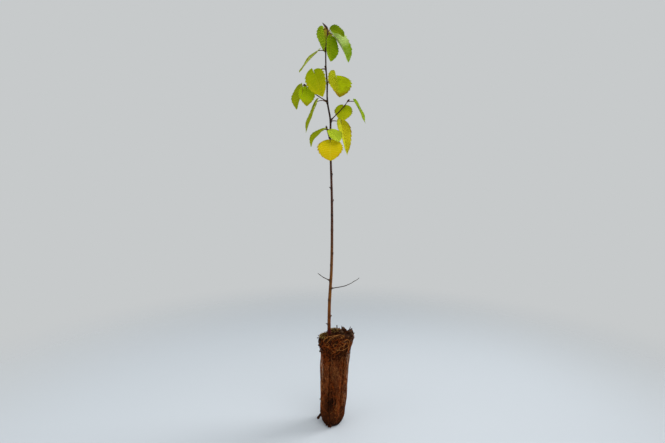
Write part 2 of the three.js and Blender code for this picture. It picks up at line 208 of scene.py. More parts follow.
@dataclass
class Surface:
    """A mesh as whole arrays, in millimetres."""

    points: Array  # Place of each point
    quads: Array  # Point numbers of each four-sided face, counterclockwise from outside
    # Point numbers of each three-sided face
    triangles: Array = field(default_factory=lambda: np.empty((0, 3), int))
    values: dict[str, Array] = field(default_factory=dict)  # Named values of each point, which finishes read
    layers: Array | None = None  # Finish number of each quad; triangles take the first finish

    def mesh(self, name: str) -> bpy.types.Mesh:
        """Blender mesh of the surface, smooth but for its sharp edges.

        Args:
            name: Name of the mesh.

        Returns:
            The mesh, in metres, with the named values as attributes.
        """
        mesh = bpy.data.meshes.new(name)
        mesh.from_pydata((self.points * MM).tolist(), [], self.quads.tolist() + self.triangles.tolist())
        for label, value in self.values.items():
            mesh.attributes.new(label, "FLOAT", "POINT").data.foreach_set("value", value.astype(np.float32))
        if self.layers is not None:
            caps = np.zeros(len(self.triangles), np.int32)
            mesh.polygons.foreach_set("material_index", np.concatenate([self.layers.astype(np.int32), caps]))
        mesh.polygons.foreach_set("use_smooth", np.ones(len(mesh.polygons), bool))
        mesh.set_sharp_from_angle(angle=np.radians(SHARP_EDGE))
        mesh.validate()
        return mesh

    @staticmethod
    def joined(surfaces: list[Surface]) -> Surface:
        """One surface that holds several, which carry the same named values.

        Args:
            surfaces: The surfaces to join, with layers on all of them or on none.

        Returns:
            The joined surface.
        """
        starts = np.cumsum([0] + [len(surface.points) for surface in surfaces[:-1]])
        values = {
            label: np.concatenate([surface.values[label] for surface in surfaces])
            for label in surfaces[0].values
        }
        layers = None
        if surfaces[0].layers is not None:
            layers = np.concatenate([surface.layers for surface in surfaces])
        return Surface(
            np.concatenate([surface.points for surface in surfaces]),
            np.concatenate([surface.quads + start for surface, start in zip(surfaces, starts)]),
            np.concatenate([surface.triangles + start for surface, start in zip(surfaces, starts)]),
            values,
            layers,
        )


def grid_quads(rows: int, columns: int, closed: bool) -> Array:
    """Quads between the points of a grid, numbered row by row.

    Args:
        rows: Rows of points.
        columns: Points in a row.
        closed: Whether the last column joins the first.

    Returns:
        Four point numbers for each quad, along the row first and then to the next row.
    """
    quads = columns if closed else columns - 1
    row, column = np.meshgrid(np.arange(rows - 1), np.arange(quads), indexing="ij")
    beside = (column + 1) % columns
    here, after = row * columns, (row + 1) * columns
    return np.stack([here + column, here + beside, after + beside, after + column], -1).reshape(-1, 4)


def ringed(rings: Array, values: dict[str, Array] | None = None) -> Surface:
    """Closed bodies, each a stack of rings whose first and last ring are closed by a fan to their middle.

    Args:
        rings: Points by body, ring, side and axis. Sides run counterclockwise as seen from the last ring.
        values: Named values by body, ring and side.

    Returns:
        All bodies as one surface.
    """
    count, steps, sides, _ = rings.shape

    def with_middles(grid: Array) -> Array:
        """The grid's entries in a row, then the means of its first and last ring."""
        ends = [grid[:, :1].mean(2), grid[:, -1:].mean(2)]
        return np.concatenate([grid.reshape(count, steps * sides, -1), *ends], 1).reshape(-1, grid.shape[-1])

    size = steps * sides + 2
    side = np.arange(sides)
    beside = (side + 1) % sides
    top = (steps - 1) * sides
    fans = [
        np.stack([np.full(sides, size - 2), beside, side], 1),
        np.stack([np.full(sides, size - 1), top + side, top + beside], 1),
    ]
    starts = (np.arange(count) * size)[:, None, None]
    return Surface(
        with_middles(rings),
        (grid_quads(steps, sides, closed=True) + starts).reshape(-1, 4),
        (np.concatenate(fans) + starts).reshape(-1, 3),
        {label: with_middles(value[..., None])[:, 0] for label, value in (values or {}).items()},
    )


def square_frame(along: Array, aside: Array) -> tuple[Array, Array]:
    """Two unit vectors square to `along` and to each other, the first as near to `aside` as can be."""
    normal = unit(aside - (aside * along).sum(-1, keepdims=True) * along)
    return normal, np.cross(along, normal)


def strands(paths: Array, radii: Array, sides: int, aside: Array | None = None) -> Surface:
    """Round strands carried along many paths at once.

    A ring is centre + radius · (cos a · N + sin a · B), with N square to the path and B square to both.

    Args:
        paths: Points by strand, step and axis.
        radii: Radii by strand and step, or by strand, step and side.
        sides: Sides of a ring.
        aside: Directions that N keeps near to. By default the axis that a strand runs least along.

    Returns:
        The strands as one surface.
    """
    tangent = unit(np.gradient(paths, axis=1))
    if aside is None:
        least = np.abs(tangent.mean(1)).argmin(-1)
        aside = np.eye(3)[least][:, None]
    normal, binormal = square_frame(tangent, aside)
    angle = FULL_TURN * np.arange(sides)[:, None] / sides
    spokes = np.cos(angle) * normal[:, :, None] + np.sin(angle) * binormal[:, :, None]
    radii = radii.reshape(*paths.shape[:2], -1)[..., None]
    return ringed(paths[:, :, None] + radii * spokes)


def add_piece(
    name: str, surface: Surface, finishes: list[Finish], nodes: tuple[str, ...] = ()
) -> None:
    """Puts a surface into the scene as a finished piece of the plant.

    Args:
        name: Name of the piece.
        surface: Its mesh as arrays.
        finishes: Its finishes, in the order of the surface's layers.
        nodes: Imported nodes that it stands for.
    """
    mesh = surface.mesh(name)
    for finish in finishes:
        mesh.materials.append(finish.material())
    piece = bpy.data.objects.new(name, mesh)
    bpy.context.scene.collection.objects.link(piece)
    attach(piece, BODY)
    if nodes:
        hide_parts(*nodes)
    log.info("%s: %d faces", name, len(mesh.polygons))


# Finishes


def linear(colour: Colour) -> tuple[float, ...]:
    """Scene-linear colour with full alpha from an 8-bit sRGB one."""
    share = np.array(colour) / 255
    return (*np.where(share <= 0.04045, share / 12.92, ((share + 0.055) / 1.055) ** 2.4).tolist(), 1.0)


class Wiring:
    """Short calls that add nodes to a node tree and join them."""

    def __init__(self, tree: bpy.types.NodeTree) -> None:
        """Keeps the tree that the calls work on."""
        self.tree = tree

    def add(self, kind: str, inputs: Inputs, **settings: object) -> bpy.types.Node:
        """Adds a shader node.

        Args:
            kind: Its type without the leading ShaderNode.
            inputs: A socket to link or a value to set for each of its inputs, by name or number.
            **settings: Properties of the node.

        Returns:
            The node.
        """
        node = self.tree.nodes.new(f"ShaderNode{kind}")
        for name, value in settings.items():
            setattr(node, name, value)
        self.feed(node, inputs)
        return node

    def feed(self, node: bpy.types.Node, inputs: Inputs) -> None:
        """Links a socket or sets a value for each of a node's inputs.

        Args:
            node: The node.
            inputs: A socket or a value for each input, by name or number.
        """
        for name, value in inputs.items():
            if isinstance(value, Socket):
                self.tree.links.new(value, node.inputs[name])
            else:
                node.inputs[name].default_value = value

    def blend(self, share: object, first: object, second: object) -> Socket:
        """Colour that goes from the first to the second as the share goes from 0 to 1."""
        return self.add("Mix", {0: share, 6: first, 7: second}, data_type="RGBA").outputs[2]

    def maths(self, operation: str, first: object, second: object) -> Socket:
        """Result of one sum, clipped to between 0 and 1."""
        return self.add("Math", {0: first, 1: second}, operation=operation, use_clamp=True).outputs[0]

    def value(self, label: str) -> Socket:
        """A named value of the mesh's points."""
        return self.add("Attribute", {}, attribute_name=label).outputs["Fac"]

    def place(self) -> Socket:
        """Place of the point, in the object's own coordinates."""
        return self.add("TexCoord", {}).outputs["Object"]

    def share(self, value: object, low: float, high: float, kind: str = "LINEAR") -> Socket:
        """Share from 0 to 1 of a value's way from low to high."""
        return self.add("MapRange", {0: value, 1: low, 2: high}, interpolation_type=kind).outputs[0]

    def noise(self, detail: float, **inputs: object) -> Socket:
        """Noise between 0 and 1 with that many finer layers."""
        return self.add("TexNoise", {"Detail": detail} | inputs).outputs[0]

    def group(self, tree: bpy.types.NodeTree, inputs: Inputs) -> Socket:
        """The output of a shared group that is placed with those inputs."""
        return self.add("Group", inputs, node_tree=tree).outputs[0]

    def ramp(self, share: Socket, stops: dict[float, Colour]) -> Socket:
        """Colour ramp.

        Args:
            share: Where to read it, from 0 to 1.
            stops: Colours by place, at least two.

        Returns:
            The colour there.
        """
        node = self.add("ValToRGB", {0: share})
        elements = node.color_ramp.elements
        for number, (place, colour) in enumerate(stops.items()):
            element = elements[number] if number < 2 else elements.new(place)
            element.position = place
            element.color = linear(colour)
        return node.outputs["Color"]


def new_group(
    name: str, inputs: dict[str, str], outputs: dict[str, str]
) -> tuple[Wiring, dict[str, Socket], bpy.types.Node]:
    """An empty shader node group.

    Args:
        name: Name of the group.
        inputs: Kind of each input socket by name.
        outputs: Kind of each output socket by name.

    Returns:
        The group's wiring, its input sockets by name and its output node.
    """
    tree = bpy.data.node_groups.new(name, "ShaderNodeTree")
    for way, sockets in (("INPUT", inputs), ("OUTPUT", outputs)):
        for label, kind in sockets.items():
            tree.interface.new_socket(label, in_out=way, socket_type=f"NodeSocket{kind}")
    source, output = tree.nodes.new("NodeGroupInput"), tree.nodes.new("NodeGroupOutput")
    return Wiring(tree), {label: source.outputs[label] for label in inputs}, output


@cache
def mottle_group() -> bpy.types.NodeTree:
    """Group that mottles one colour with another: noise, sharpened about its middle, mixes the two."""
    kinds = {"Place": "Vector", "Scale": "Float", "Colour": "Color", "Shade": "Color", "Share": "Float"}
    detail, roughness, edge = 4.0, 0.6, (0.36, 0.66)
    wiring, inputs, output = new_group("Mottle", kinds, {"Colour": "Color"})
    noise = wiring.noise(detail, Vector=inputs["Place"], Scale=inputs["Scale"], Roughness=roughness)
    share = wiring.maths("MULTIPLY", wiring.share(noise, *edge, "SMOOTHSTEP"), inputs["Share"])
    wiring.feed(output, {"Colour": wiring.blend(share, inputs["Colour"], inputs["Shade"])})
    return wiring.tree


@cache
def grain_group() -> bpy.types.NodeTree:
    """Group that gives the height of a fine grain: fine noise with shallow cells among it."""
    detail, cell_depth = 5.0, 0.5
    wiring, inputs, output = new_group("Grain", {"Place": "Vector", "Scale": "Float"}, {"Height": "Float"})
    where = {"Vector": inputs["Place"], "Scale": inputs["Scale"]}
    noise = wiring.noise(detail, **where)
    cells = wiring.add("TexVoronoi", where).outputs["Distance"]
    height = wiring.add("Math", {0: cells, 1: cell_depth, 2: noise}, operation="MULTIPLY_ADD")
    wiring.feed(output, {"Height": height.outputs[0]})
    return wiring.tree


@dataclass(frozen=True)
class Finish:
    """A mottled surface with a fine grain.

    Mottles as wide as a patch, and longer along +Z by the stretch, take a share of the shade. Gloss is the
    specular level, and the grain has a width and a relief.
    """

    name: str
    colour: Colour
    shade: Colour
    patch: float = 3.0
    stretch: float = 1.0
    share: float = 0.8
    roughness: float = 0.8
    gloss: float = 0.3
    grain: float = 0.6
    relief: float = 0.08

    def plain(self, wiring: Wiring) -> object:
        """The main colour before it is mottled."""
        return linear(self.colour)

    def marked(self, wiring: Wiring, colour: Socket) -> Socket:
        """The mottled colour with any marks on it."""
        return colour

    def material(self) -> bpy.types.Material:
        """The finish's material, built on its first use."""
        if self.name in bpy.data.materials:
            return bpy.data.materials[self.name]
        material = bpy.data.materials.new(self.name)
        material.use_nodes = True
        wiring = Wiring(material.node_tree)
        surface = material.node_tree.nodes["Principled BSDF"]
        scale = (1, 1, 1 / self.stretch)
        drawn_out = wiring.add("Mapping", {"Vector": wiring.place(), "Scale": scale}).outputs[0]
        mottle = {
            "Place": drawn_out,
            "Scale": 1 / (self.patch * MM),
            "Colour": self.plain(wiring),
            "Shade": linear(self.shade),
            "Share": self.share,
        }
        colour = wiring.group(mottle_group(), mottle)
        height = wiring.group(grain_group(), {"Place": drawn_out, "Scale": 1 / (self.grain * MM)})
        bump = wiring.add("Bump", {"Height": height, "Distance": self.relief * MM})
        inputs = {
            "Base Color": self.marked(wiring, colour),
            "Roughness": self.roughness,
            "Specular IOR Level": self.gloss,
            "Normal": bump.outputs["Normal"],
        }
        wiring.feed(surface, inputs)
        return material


@dataclass(frozen=True)
class BarkFinish(Finish):
    """Bark whose colour changes by stops over a span of heights and darkens at the knots."""

    span: Span = (0, 1)
    stops: tuple[tuple[float, Colour], ...] = ()
    knot: Colour = (40, 24, 14)

    def plain(self, wiring: Wiring) -> Socket:
        """Colour at the height of the point."""
        height = wiring.add("SeparateXYZ", {0: wiring.place()}).outputs["Z"]
        low, high = self.span
        return wiring.ramp(wiring.share(height, low * MM, high * MM), dict(self.stops))

    def marked(self, wiring: Wiring, colour: Socket) -> Socket:
        """The bark's colour, darker where the value "knot" is high."""
        return wiring.blend(wiring.value("knot"), colour, linear(self.knot))


@dataclass(frozen=True)
class PeatFinish(Finish):
    """Peat that takes another, darker colour where it is wet, and as painted shade in its slots and hollow."""

    damp_and_shade: Colour = (24, 14, 9)

    def marked(self, wiring: Wiring, colour: Socket) -> Socket:
        """The peat's colour, darker where the peat is wet and where painted shade falls on it."""
        return wiring.blend(wiring.value("damp_and_shade"), colour, linear(self.damp_and_shade))


@dataclass(frozen=True)
class LeafFinish(Finish):
    """Face of a leaf: a tint that turns towards the tip and one flank, with veins and browned teeth."""

    outer: Colour = (150, 160, 20)  # Tint of the outer part
    turning: Span = (0, 1)  # Shares of the length between which the tint goes over to it
    flank: Colour = (178, 164, 16)  # Tint of the left half, seen along the blade from above
    flank_share: float = 0.0  # How far the left half takes it at the base
    flank_end: float = 4.0  # Share of the length at which it has lost it again
    vein: Colour = (182, 186, 44)  # Tint of the veins
    veining: float = 0.3  # How far they take it
    browned: Colour = (124, 66, 14)  # Tint of the withered margin and tip
    withering: float = 0.4  # How much of the margin has withered
    scorch: float = 0.0  # How far the tip has

    def plain(self, wiring: Wiring) -> Socket:
        """Tint that goes over to the outer one along the blade, and on the left half to the flank's."""
        along = wiring.value("along")
        whole = wiring.blend(wiring.share(along, *self.turning), linear(self.colour), linear(self.outer))
        fading = {0: along, 1: 0, 2: self.flank_end, 3: self.flank_share, 4: 0}
        near = wiring.add("MapRange", fading).outputs[0]
        flanked = wiring.maths("MULTIPLY", wiring.value("left"), near)
        return wiring.blend(flanked, whole, linear(self.flank))

    def marked(self, wiring: Wiring, colour: Socket) -> Socket:
        """The tint with veins, and brown in patches along the margin and at the tip."""
        blotch, detail, sound, spread, withered = 5, 3.0, 0.62, 0.3, 0.72
        veins = wiring.maths("MULTIPLY", wiring.value("vein"), self.veining)
        veined = wiring.blend(veins, colour, linear(self.vein))
        noise = wiring.noise(detail, Vector=wiring.place(), Scale=1 / (blotch * MM))
        patches = wiring.share(noise, sound - spread * self.withering, withered)
        brown = wiring.maths("MULTIPLY", wiring.value("rim"), patches)
        tip = wiring.maths("MULTIPLY", wiring.value("tip"), self.scorch)
        return wiring.blend(wiring.maths("MAXIMUM", brown, tip), veined, linear(self.browned))


def leaf_face(name: str, colour: Colour, outer: Colour, shade: Colour, **marks: object) -> LeafFinish:
    """Finish of one face of a leaf: its tints, the texture that all leaves share and its other fields."""
    texture = {"patch": 8, "share": 0.55, "roughness": 0.75, "gloss": 0.02, "grain": 0.9, "relief": 0.003}
    return LeafFinish(name, colour, shade, outer=outer, **(texture | marks))


PALE_GREEN = (190, 200, 140)
PALING = 0.4


class Tint(Enum):
    """Tints of the leaves, from the green top to the yellow foot of the crown."""

    DEEP = leaf_face("deep_green_face", (110, 135, 8), (116, 139, 10), (89, 114, 6), withering=0.1)
    GREEN = leaf_face("green_face", (118, 147, 5), (126, 149, 8), (100, 129, 4), withering=0.15)
    RUSSET = leaf_face(
        "russet_face", (112, 138, 5), (114, 135, 8), (95, 119, 4), flank=(154, 108, 46), flank_share=0.8,
        flank_end=0.5, withering=0.3,
    )
    # The pale base of this leaf's upper face is painted sheen, lightened further as painted light against the
    # shadow that the crest leaf casts on it; the face turns green towards the tip.
    PALE = leaf_face(
        "painted_sheen_face", (214, 235, 148), (121, 152, 6), (193, 216, 121), turning=(0.26, 0.52),
        withering=0.15, share=0.3,
    )
    OLIVE = leaf_face("olive_face", (140, 151, 6), (152, 160, 16), (119, 136, 4), withering=0.3)
    FADING = leaf_face(
        "fading_face", (152, 166, 7), (192, 184, 13), (140, 156, 6), withering=0.35, veining=0.2
    )
    LIME = leaf_face("lime_face", (168, 184, 5), (190, 188, 19), (151, 168, 3), withering=0.45)
    SCORCHED = leaf_face(
        "scorched_face", (142, 146, 9), (170, 170, 15), (126, 130, 7), flank=(173, 190, 5), flank_share=1.0,
        withering=0.5, scorch=0.6,
    )
    SINGED = leaf_face(
        "singed_face", (164, 190, 7), (175, 181, 12), (144, 170, 5), withering=0.4, scorch=0.35
    )
    FRESH = leaf_face("fresh_face", (166, 186, 41), (173, 190, 48), (147, 168, 26), withering=0.3)
    TURNING = leaf_face(
        "turning_face", (172, 174, 20), (160, 160, 12), (151, 153, 9), flank=(177, 162, 9), flank_share=0.8,
        vein=(134, 121, 13), veining=0.4, withering=0.6,
    )
    # The gold leaf runs from a lighter gold at its stalk to a darker gold at its tip: painted light against
    # the shadow that the leaves above cast on its top.
    GOLD = leaf_face(
        "gold_face", (224, 206, 14), (204, 170, 10), (198, 184, 10), vein=(236, 214, 60), veining=0.35,
        withering=0.8,
    )


def paled(colour: Colour) -> Colour:
    """A leaf's tint on its underside, part of the way to pale green."""
    return tuple(round((1 - PALING) * tint + PALING * pale) for tint, pale in zip(colour, PALE_GREEN))


def underside(face: LeafFinish) -> LeafFinish:
    """Finish of the underside of a leaf with that upper face: paler, with pale veins and no flank."""
    return leaf_face(
        f"{face.name}_underside", paled(face.colour), paled(face.outer), paled(face.shade), vein=PALE_GREEN,
        veining=0.5, withering=0.3,
    )


BARK = BarkFinish(
    "young_bark", (90, 50, 24), (44, 20, 8), patch=1.2, stretch=7, share=0.5, roughness=0.45, gloss=0.14,
    grain=0.35, relief=0.05, span=(130, 568), knot=(30, 16, 9),
    stops=(
        (0.0, (60, 6, 2)), (0.018, (76, 16, 4)), (0.035, (112, 58, 14)), (0.13, (120, 72, 18)),
        (0.21, (116, 70, 22)), (0.29, (96, 56, 24)), (0.37, (76, 38, 18)), (0.53, (68, 32, 14)),
        (0.6, (64, 34, 17)), (0.75, (46, 30, 16)), (0.9, (54, 28, 13)), (0.95, (78, 48, 22)),
        (1.0, (142, 96, 46)),
    ),
)
SHOOT_BARK = BarkFinish(
    "shoot_bark", (78, 46, 26), (46, 24, 14), patch=1, stretch=3, share=0.6, roughness=0.5, gloss=0.14,
    grain=0.3, relief=0.04, span=(400, 568), knot=(30, 16, 9),
    stops=((0.0, (78, 38, 22)), (1.0, (76, 42, 22))),
)
STALK_SKIN = Finish(
    "stalk_skin", (92, 48, 26), (112, 96, 26), patch=6, share=0.7, roughness=0.55, gloss=0.12, grain=0.3,
    relief=0.03,
)
MIDRIB = Finish(
    "midrib_skin", (172, 164, 92), (140, 120, 56), patch=5, roughness=0.55, gloss=0.1, grain=0.3, relief=0.03
)
BUD_SCALES = Finish("bud_scales", (44, 24, 14), (78, 40, 18), patch=1.6, roughness=0.5, gloss=0.15, grain=0.4)
LENTICEL = Finish("lenticels", (134, 98, 62), (98, 66, 38), patch=1, roughness=0.85, gloss=0.1)
DEAD_BARK = Finish(
    "dead_twig_bark", (78, 66, 58), (48, 38, 32), patch=1.4, stretch=2, roughness=0.85, gloss=0.1
)
PEAT = PeatFinish(
    "bound_peat", (54, 24, 10), (92, 48, 22), patch=3.2, stretch=1.5, share=0.7, roughness=0.95, gloss=0.03,
    grain=0.7, relief=0.35, damp_and_shade=(18, 9, 5),
)
ROOT_BROWN = Finish("root_brown", (124, 64, 30), (56, 25, 10), patch=5, stretch=2, roughness=0.8, gloss=0.06)
ROOT_TAN = Finish("root_tan", (190, 120, 72), (146, 86, 46), patch=4, roughness=0.8, gloss=0.06)
ROOT_DARK = Finish("root_dark", (46, 21, 9), (72, 36, 14), patch=5, stretch=2, roughness=0.85, gloss=0.05)
ROOT_ORANGE = Finish("root_orange", (178, 84, 26), (128, 54, 16), patch=5, roughness=0.75, gloss=0.06)
ROOT_GOLD = Finish("root_gold", (188, 122, 60), (148, 86, 38), patch=4, roughness=0.7, gloss=0.06)
ROOT_GREY = Finish("root_grey", (182, 148, 122), (132, 100, 80), patch=4, roughness=0.8, gloss=0.1)
CRUMB = Finish("peat_crumb", (38, 19, 9), (66, 36, 17), patch=2, roughness=0.95, gloss=0.03, relief=0.3)
CLOD = Finish("peat_clod", (92, 68, 52), (40, 24, 14), patch=2.2, roughness=0.95, gloss=0.03, relief=0.3)
GRIT = Finish("grit", (150, 122, 80), (104, 78, 46), patch=1.5, roughness=0.8, gloss=0.1)
MOSS = Finish("moss", (176, 144, 78), (92, 74, 32), patch=2.5, roughness=0.85, gloss=0.05)
STRAW = Finish("straw", (72, 50, 32), (42, 28, 17), patch=2, roughness=0.75, gloss=0.1)


# Stem


@dataclass(frozen=True)
class Knot:
    """Place on the stem where a leaf, bud or twig grows, with its turn and how far the bark swells."""

    height: float
    turn: float
    swell: float = 0.4


@dataclass(frozen=True)
class Bud:
    """A bud on the stem: height of its foot, its turn and rise, its length and its widest radius."""

    height: float
    turn: float
    rise: float
    length: float
    radius: float


SIDE_BUDS = (
    Bud(146, LEFT, 16, 3.8, 0.75), Bud(157, RIGHT, 48, 3.8, 1.1), Bud(182, LEFT + 20, 45, 1.8, 0.9),
    Bud(233, LEFT - 20, 50, 1.8, 0.8), Bud(250, RIGHT + 15, 50, 2.0, 0.9), Bud(284, BACK, 55, 2.6, 0.9),
    Bud(306, FRONT - 30, 60, 2.6, 0.9), Bud(325, RIGHT + 10, 66, 4.2, 1.0), Bud(344, LEFT, 40, 3.6, 0.8),
    Bud(363, RIGHT - 25, 60, 2.8, 1.0), Bud(388, BACK + 20, 60, 3.2, 1.0), Bud(513, LEFT - 40, 62, 4.2, 1.1),
    Bud(538, LEFT - 60, 62, 4.2, 1.1),
)


@dataclass(frozen=True)
class Stem:
    """The stem: a kinked shaft that thins from its root flare to the terminal bud."""

    # Height, sway to the right and depth of the points that the axis passes through
    path: tuple[Triple, ...] = (
        (130.3, -4.4, 0), (178, -3.6, 0.6), (232, -0.6, 1.2), (326, -0.1, 0.4), (414, -2.4, 0),
        (440, -2.2, 0.8), (466, -6.3, 0.2), (492, -6.8, -0.4), (513, -8.4, 0.3), (535, -8.6, 0.4),
        (554, -6.9, -0.2), (566.5, -5.6, 0),
    )
    flare_radius: float = 3.2  # Radius at the foot of the root flare
    flare_height: float = 8.0  # Height of the flare
    foot_radius: float = 2.5  # Radius above the flare
    tip_radius: float = 0.85  # Radius at the tip
    sunk: float = 2.0  # How far the foot reaches into the plug
    sides: int = 36  # Points round the stem
    step: float = 0.5  # Distance between its rings
    ridges: Octaves = (Octave(0.07, 24, 9, 3), Octave(0.04, 6, 1.1, 4))  # Noise of the bark
    lenticels: int = 420  # Number of lenticels on the bark
    tip_bud: Bud = Bud(565.7, LEFT, 48, 12, 1.5)  # The terminal bud, whose foot is just below the tip
    seat_gap: float = 0.3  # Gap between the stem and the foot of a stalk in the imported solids

    @property
    def foot(self) -> float:
        """Height of the foot."""
        return self.path[0][0]

    @property
    def top(self) -> float:
        """Height of the tip."""
        return self.path[-1][0]

    def axis(self, height: Array | float) -> Array:
        """Points of the axis at given heights."""
        heights, sway, depth = np.array(self.path).T
        curve = centripetal_curve(np.stack([sway, depth, heights], 1), per_span=60)
        height = np.asarray(height, float)
        places = [np.interp(height, curve[:, 2], curve[:, axis]) for axis in (0, 1)]
        return np.stack([*places, height], -1)

    def radius(self, height: Array | float) -> Array:
        """Radius at given heights: an even taper with a smooth flare at the foot."""
        share = np.clip((np.asarray(height, float) - self.foot) / (self.top - self.foot), 0, 1)
        flare = 1 - smoothstep(height, self.foot, self.foot + self.flare_height)
        taper = self.foot_radius + (self.tip_radius - self.foot_radius) * share
        return taper + flare * (self.flare_radius - self.foot_radius)

    def seat(self, knot: Knot, rise: float, foot_radius: float) -> Array:
        """Start of a limb that stands the seat gap clear of the bark.

        Args:
            knot: Where it grows.
            rise: How steeply it sets out.
            foot_radius: Radius of its foot.

        Returns:
            The middle of its foot.
        """
        slope = np.radians(rise)
        reach = self.radius(knot.height) + self.seat_gap + foot_radius * np.abs(np.sin(slope))
        return self.axis(knot.height) + direction(knot.turn, rise) * reach / np.cos(slope)

    def shaft(self, knots: list[Knot]) -> Surface:
        """Bark of the stem on a grid of height and angle.

        The radius is the taper, plus a bell curve in height at each knot, stronger on the knot's own side,
        plus fine ridges along the stem and three roots that swell out of the flare.

        Args:
            knots: Places where the bark swells.

        Returns:
            The surface, with the value "knot" where the bark darkens.
        """
        bell, own_side, shade, tip_low, tip_high = 2.0, 0.45, 0.75, -1.5, 0.3
        roots, root_swell, root_phase = 3, 0.4, 0.8
        heights = np.arange(self.foot - self.sunk, self.top, self.step)[:, None]
        angles = FULL_TURN * np.arange(self.sides)[None] / self.sides
        place, turn, swell = np.array([(knot.height, knot.turn, knot.swell) for knot in knots]).T
        facing = 1 - own_side + own_side * np.cos(angles[..., None] - np.radians(turn))
        bells = np.exp(-(((heights[..., None] - place) / bell) ** 2)) * facing
        radius = layered(self.ridges, angles, heights, self.radius(heights) + (bells * swell).sum(-1))
        flare = 1 - smoothstep(heights, self.foot, self.foot + self.flare_height)
        radius = radius + root_swell * flare * np.cos(roots * angles + root_phase)
        radius = radius * np.sqrt(1 - smoothstep(heights, self.top + tip_low, self.top + tip_high) ** 2)
        flat = np.stack([np.cos(angles), np.sin(angles), np.zeros_like(angles)], -1)
        rings = self.axis(heights) + radius[..., None] * flat
        dark = np.clip(bells.sum(-1), 0, 1) * shade
        return ringed(rings[None], {"knot": dark[None]})

    def lenticel_domes(self) -> Surface:
        """Small raised lenticels, flat domes that lie across the bark at seeded places."""
        seed, clear, halves, steps, sides = 11, 6, (0.25, 0.55), 5, 4
        thick, proud, bow, blunt, thinnest = 0.13, 0.06, 0.1, 1.05, 0.1
        rng = np.random.default_rng(seed)
        height = rng.uniform(self.foot + clear, self.top - clear, self.lenticels)
        turn = rng.uniform(0, 360, self.lenticels)
        outward, across = direction(turn, 0)[:, None], direction(turn + 90, 0)[:, None]
        middle = self.axis(height)[:, None] + outward * self.radius(height)[:, None, None]
        half = rng.uniform(*halves, self.lenticels)[:, None, None]
        share = np.linspace(-1, 1, steps)[None, :, None]
        paths = middle + across * half * share + outward * (proud - bow * share**2)
        radii = thick * np.sqrt(np.clip(blunt - share[..., 0] ** 2, thinnest, 1))
        return strands(paths, radii * np.ones((self.lenticels, 1)), sides, outward)

    def build(self, knots: list[Knot]) -> None:
        """Builds the bark, the lenticels and the buds.

        Args:
            knots: Places where limbs and leaves grow.
        """
        swell, depth = 0.3, 0.6
        knots = knots + [Knot(bud.height, bud.turn, swell) for bud in SIDE_BUDS]
        add_piece("stem_bark", self.shaft(knots), [BARK], ("stem",))
        add_piece("stem_lenticels", self.lenticel_domes(), [LENTICEL])
        skins = [direction(bud.turn, 0) * self.radius(bud.height) * depth for bud in SIDE_BUDS]
        feet = [self.axis(bud.height) + skin for bud, skin in zip(SIDE_BUDS, skins)]
        feet.append(self.axis(self.tip_bud.height))
        every = (*SIDE_BUDS, self.tip_bud)
        ways = np.array([direction(bud.turn, bud.rise) for bud in every])
        sizes = np.array([(bud.length, bud.radius) for bud in every])
        add_piece("stem_buds", buds(np.array(feet), ways, sizes), [BUD_SCALES])


def buds(feet: Array, ways: Array, sizes: Array) -> Surface:
    """Pointed buds wrapped in scales.

    Along a bud the radius is an egg outline, and a saw wave that winds round it twice gives the edges of
    its scales.

    Args:
        feet: Foot of each bud.
        ways: Direction of each bud.
        sizes: Length and radius of each bud.

    Returns:
        The buds as one surface.
    """
    steps, sides, ends, fullness, taper = 16, 12, (0.02, 0.985), 0.45, 0.95
    rows, turns, overlap = 3, 2, 0.12
    share = np.linspace(*ends, steps)[None, :, None]
    angle = FULL_TURN * np.arange(sides)[None, None] / sides
    scales = 1 + overlap * ((rows * share + turns * angle / FULL_TURN) % 1 - 0.5)
    radii = sizes[:, 1, None, None] * egg_share(share, fullness, taper) * scales
    paths = feet[:, None] + ways[:, None] * sizes[:, 0, None, None] * share
    return strands(paths, radii, sides)


# Crown


@dataclass(frozen=True)
class Leaf:
    """One leaf: where its stalk heads and how its blade hangs.

    The stalk sets out at its turn and rise and ends at the rise `droop`. The blade points to the turn
    `face`, with a pitch at its base that its bend takes down to the tip. Roll turns it about its midrib,
    fold lifts each half, taper draws its outline in towards the tip, and oblique is how much further back
    the right half's lobe reaches, as a share of the length.
    """

    tint: Tint
    turn: float
    rise: float
    droop: float
    stalk: float
    face: float
    pitch: float
    bend: float
    roll: float
    fold: float
    length: float
    width: float
    taper: float = 0.86
    oblique: float = 0.0

    def stalk_points(self, start: Array, shares: Array) -> Array:
        """Points of the stalk's arc at shares of its length."""
        ways = direction(self.turn, self.rise), direction(self.turn, self.droop)
        return arc(start, *ways, self.stalk, shares)


@dataclass(frozen=True)
class StemLeaf:
    """A leaf straight on the stem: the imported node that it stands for, its height and the leaf."""

    node: str
    height: float
    leaf: Leaf


@dataclass(frozen=True)
class Shoot:
    """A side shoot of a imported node, with the share of its length where each of its leaves stands.

    It leaves the stem at a height, turn and rise, ends at the rise `end_rise` and thins out to its tip.
    """

    node: str
    height: float
    turn: float
    rise: float
    end_rise: float
    length: float
    radius: float
    tip: float
    leaves: tuple[tuple[float, Leaf], ...] = ()

    def points(self, stem: Stem, shares: Array) -> Array:
        """Points of the shoot's arc at shares of its length."""
        start = stem.seat(Knot(self.height, self.turn), self.rise, self.radius)
        ways = direction(self.turn, self.rise), direction(self.turn, self.end_rise)
        return arc(start, *ways, self.length, shares)


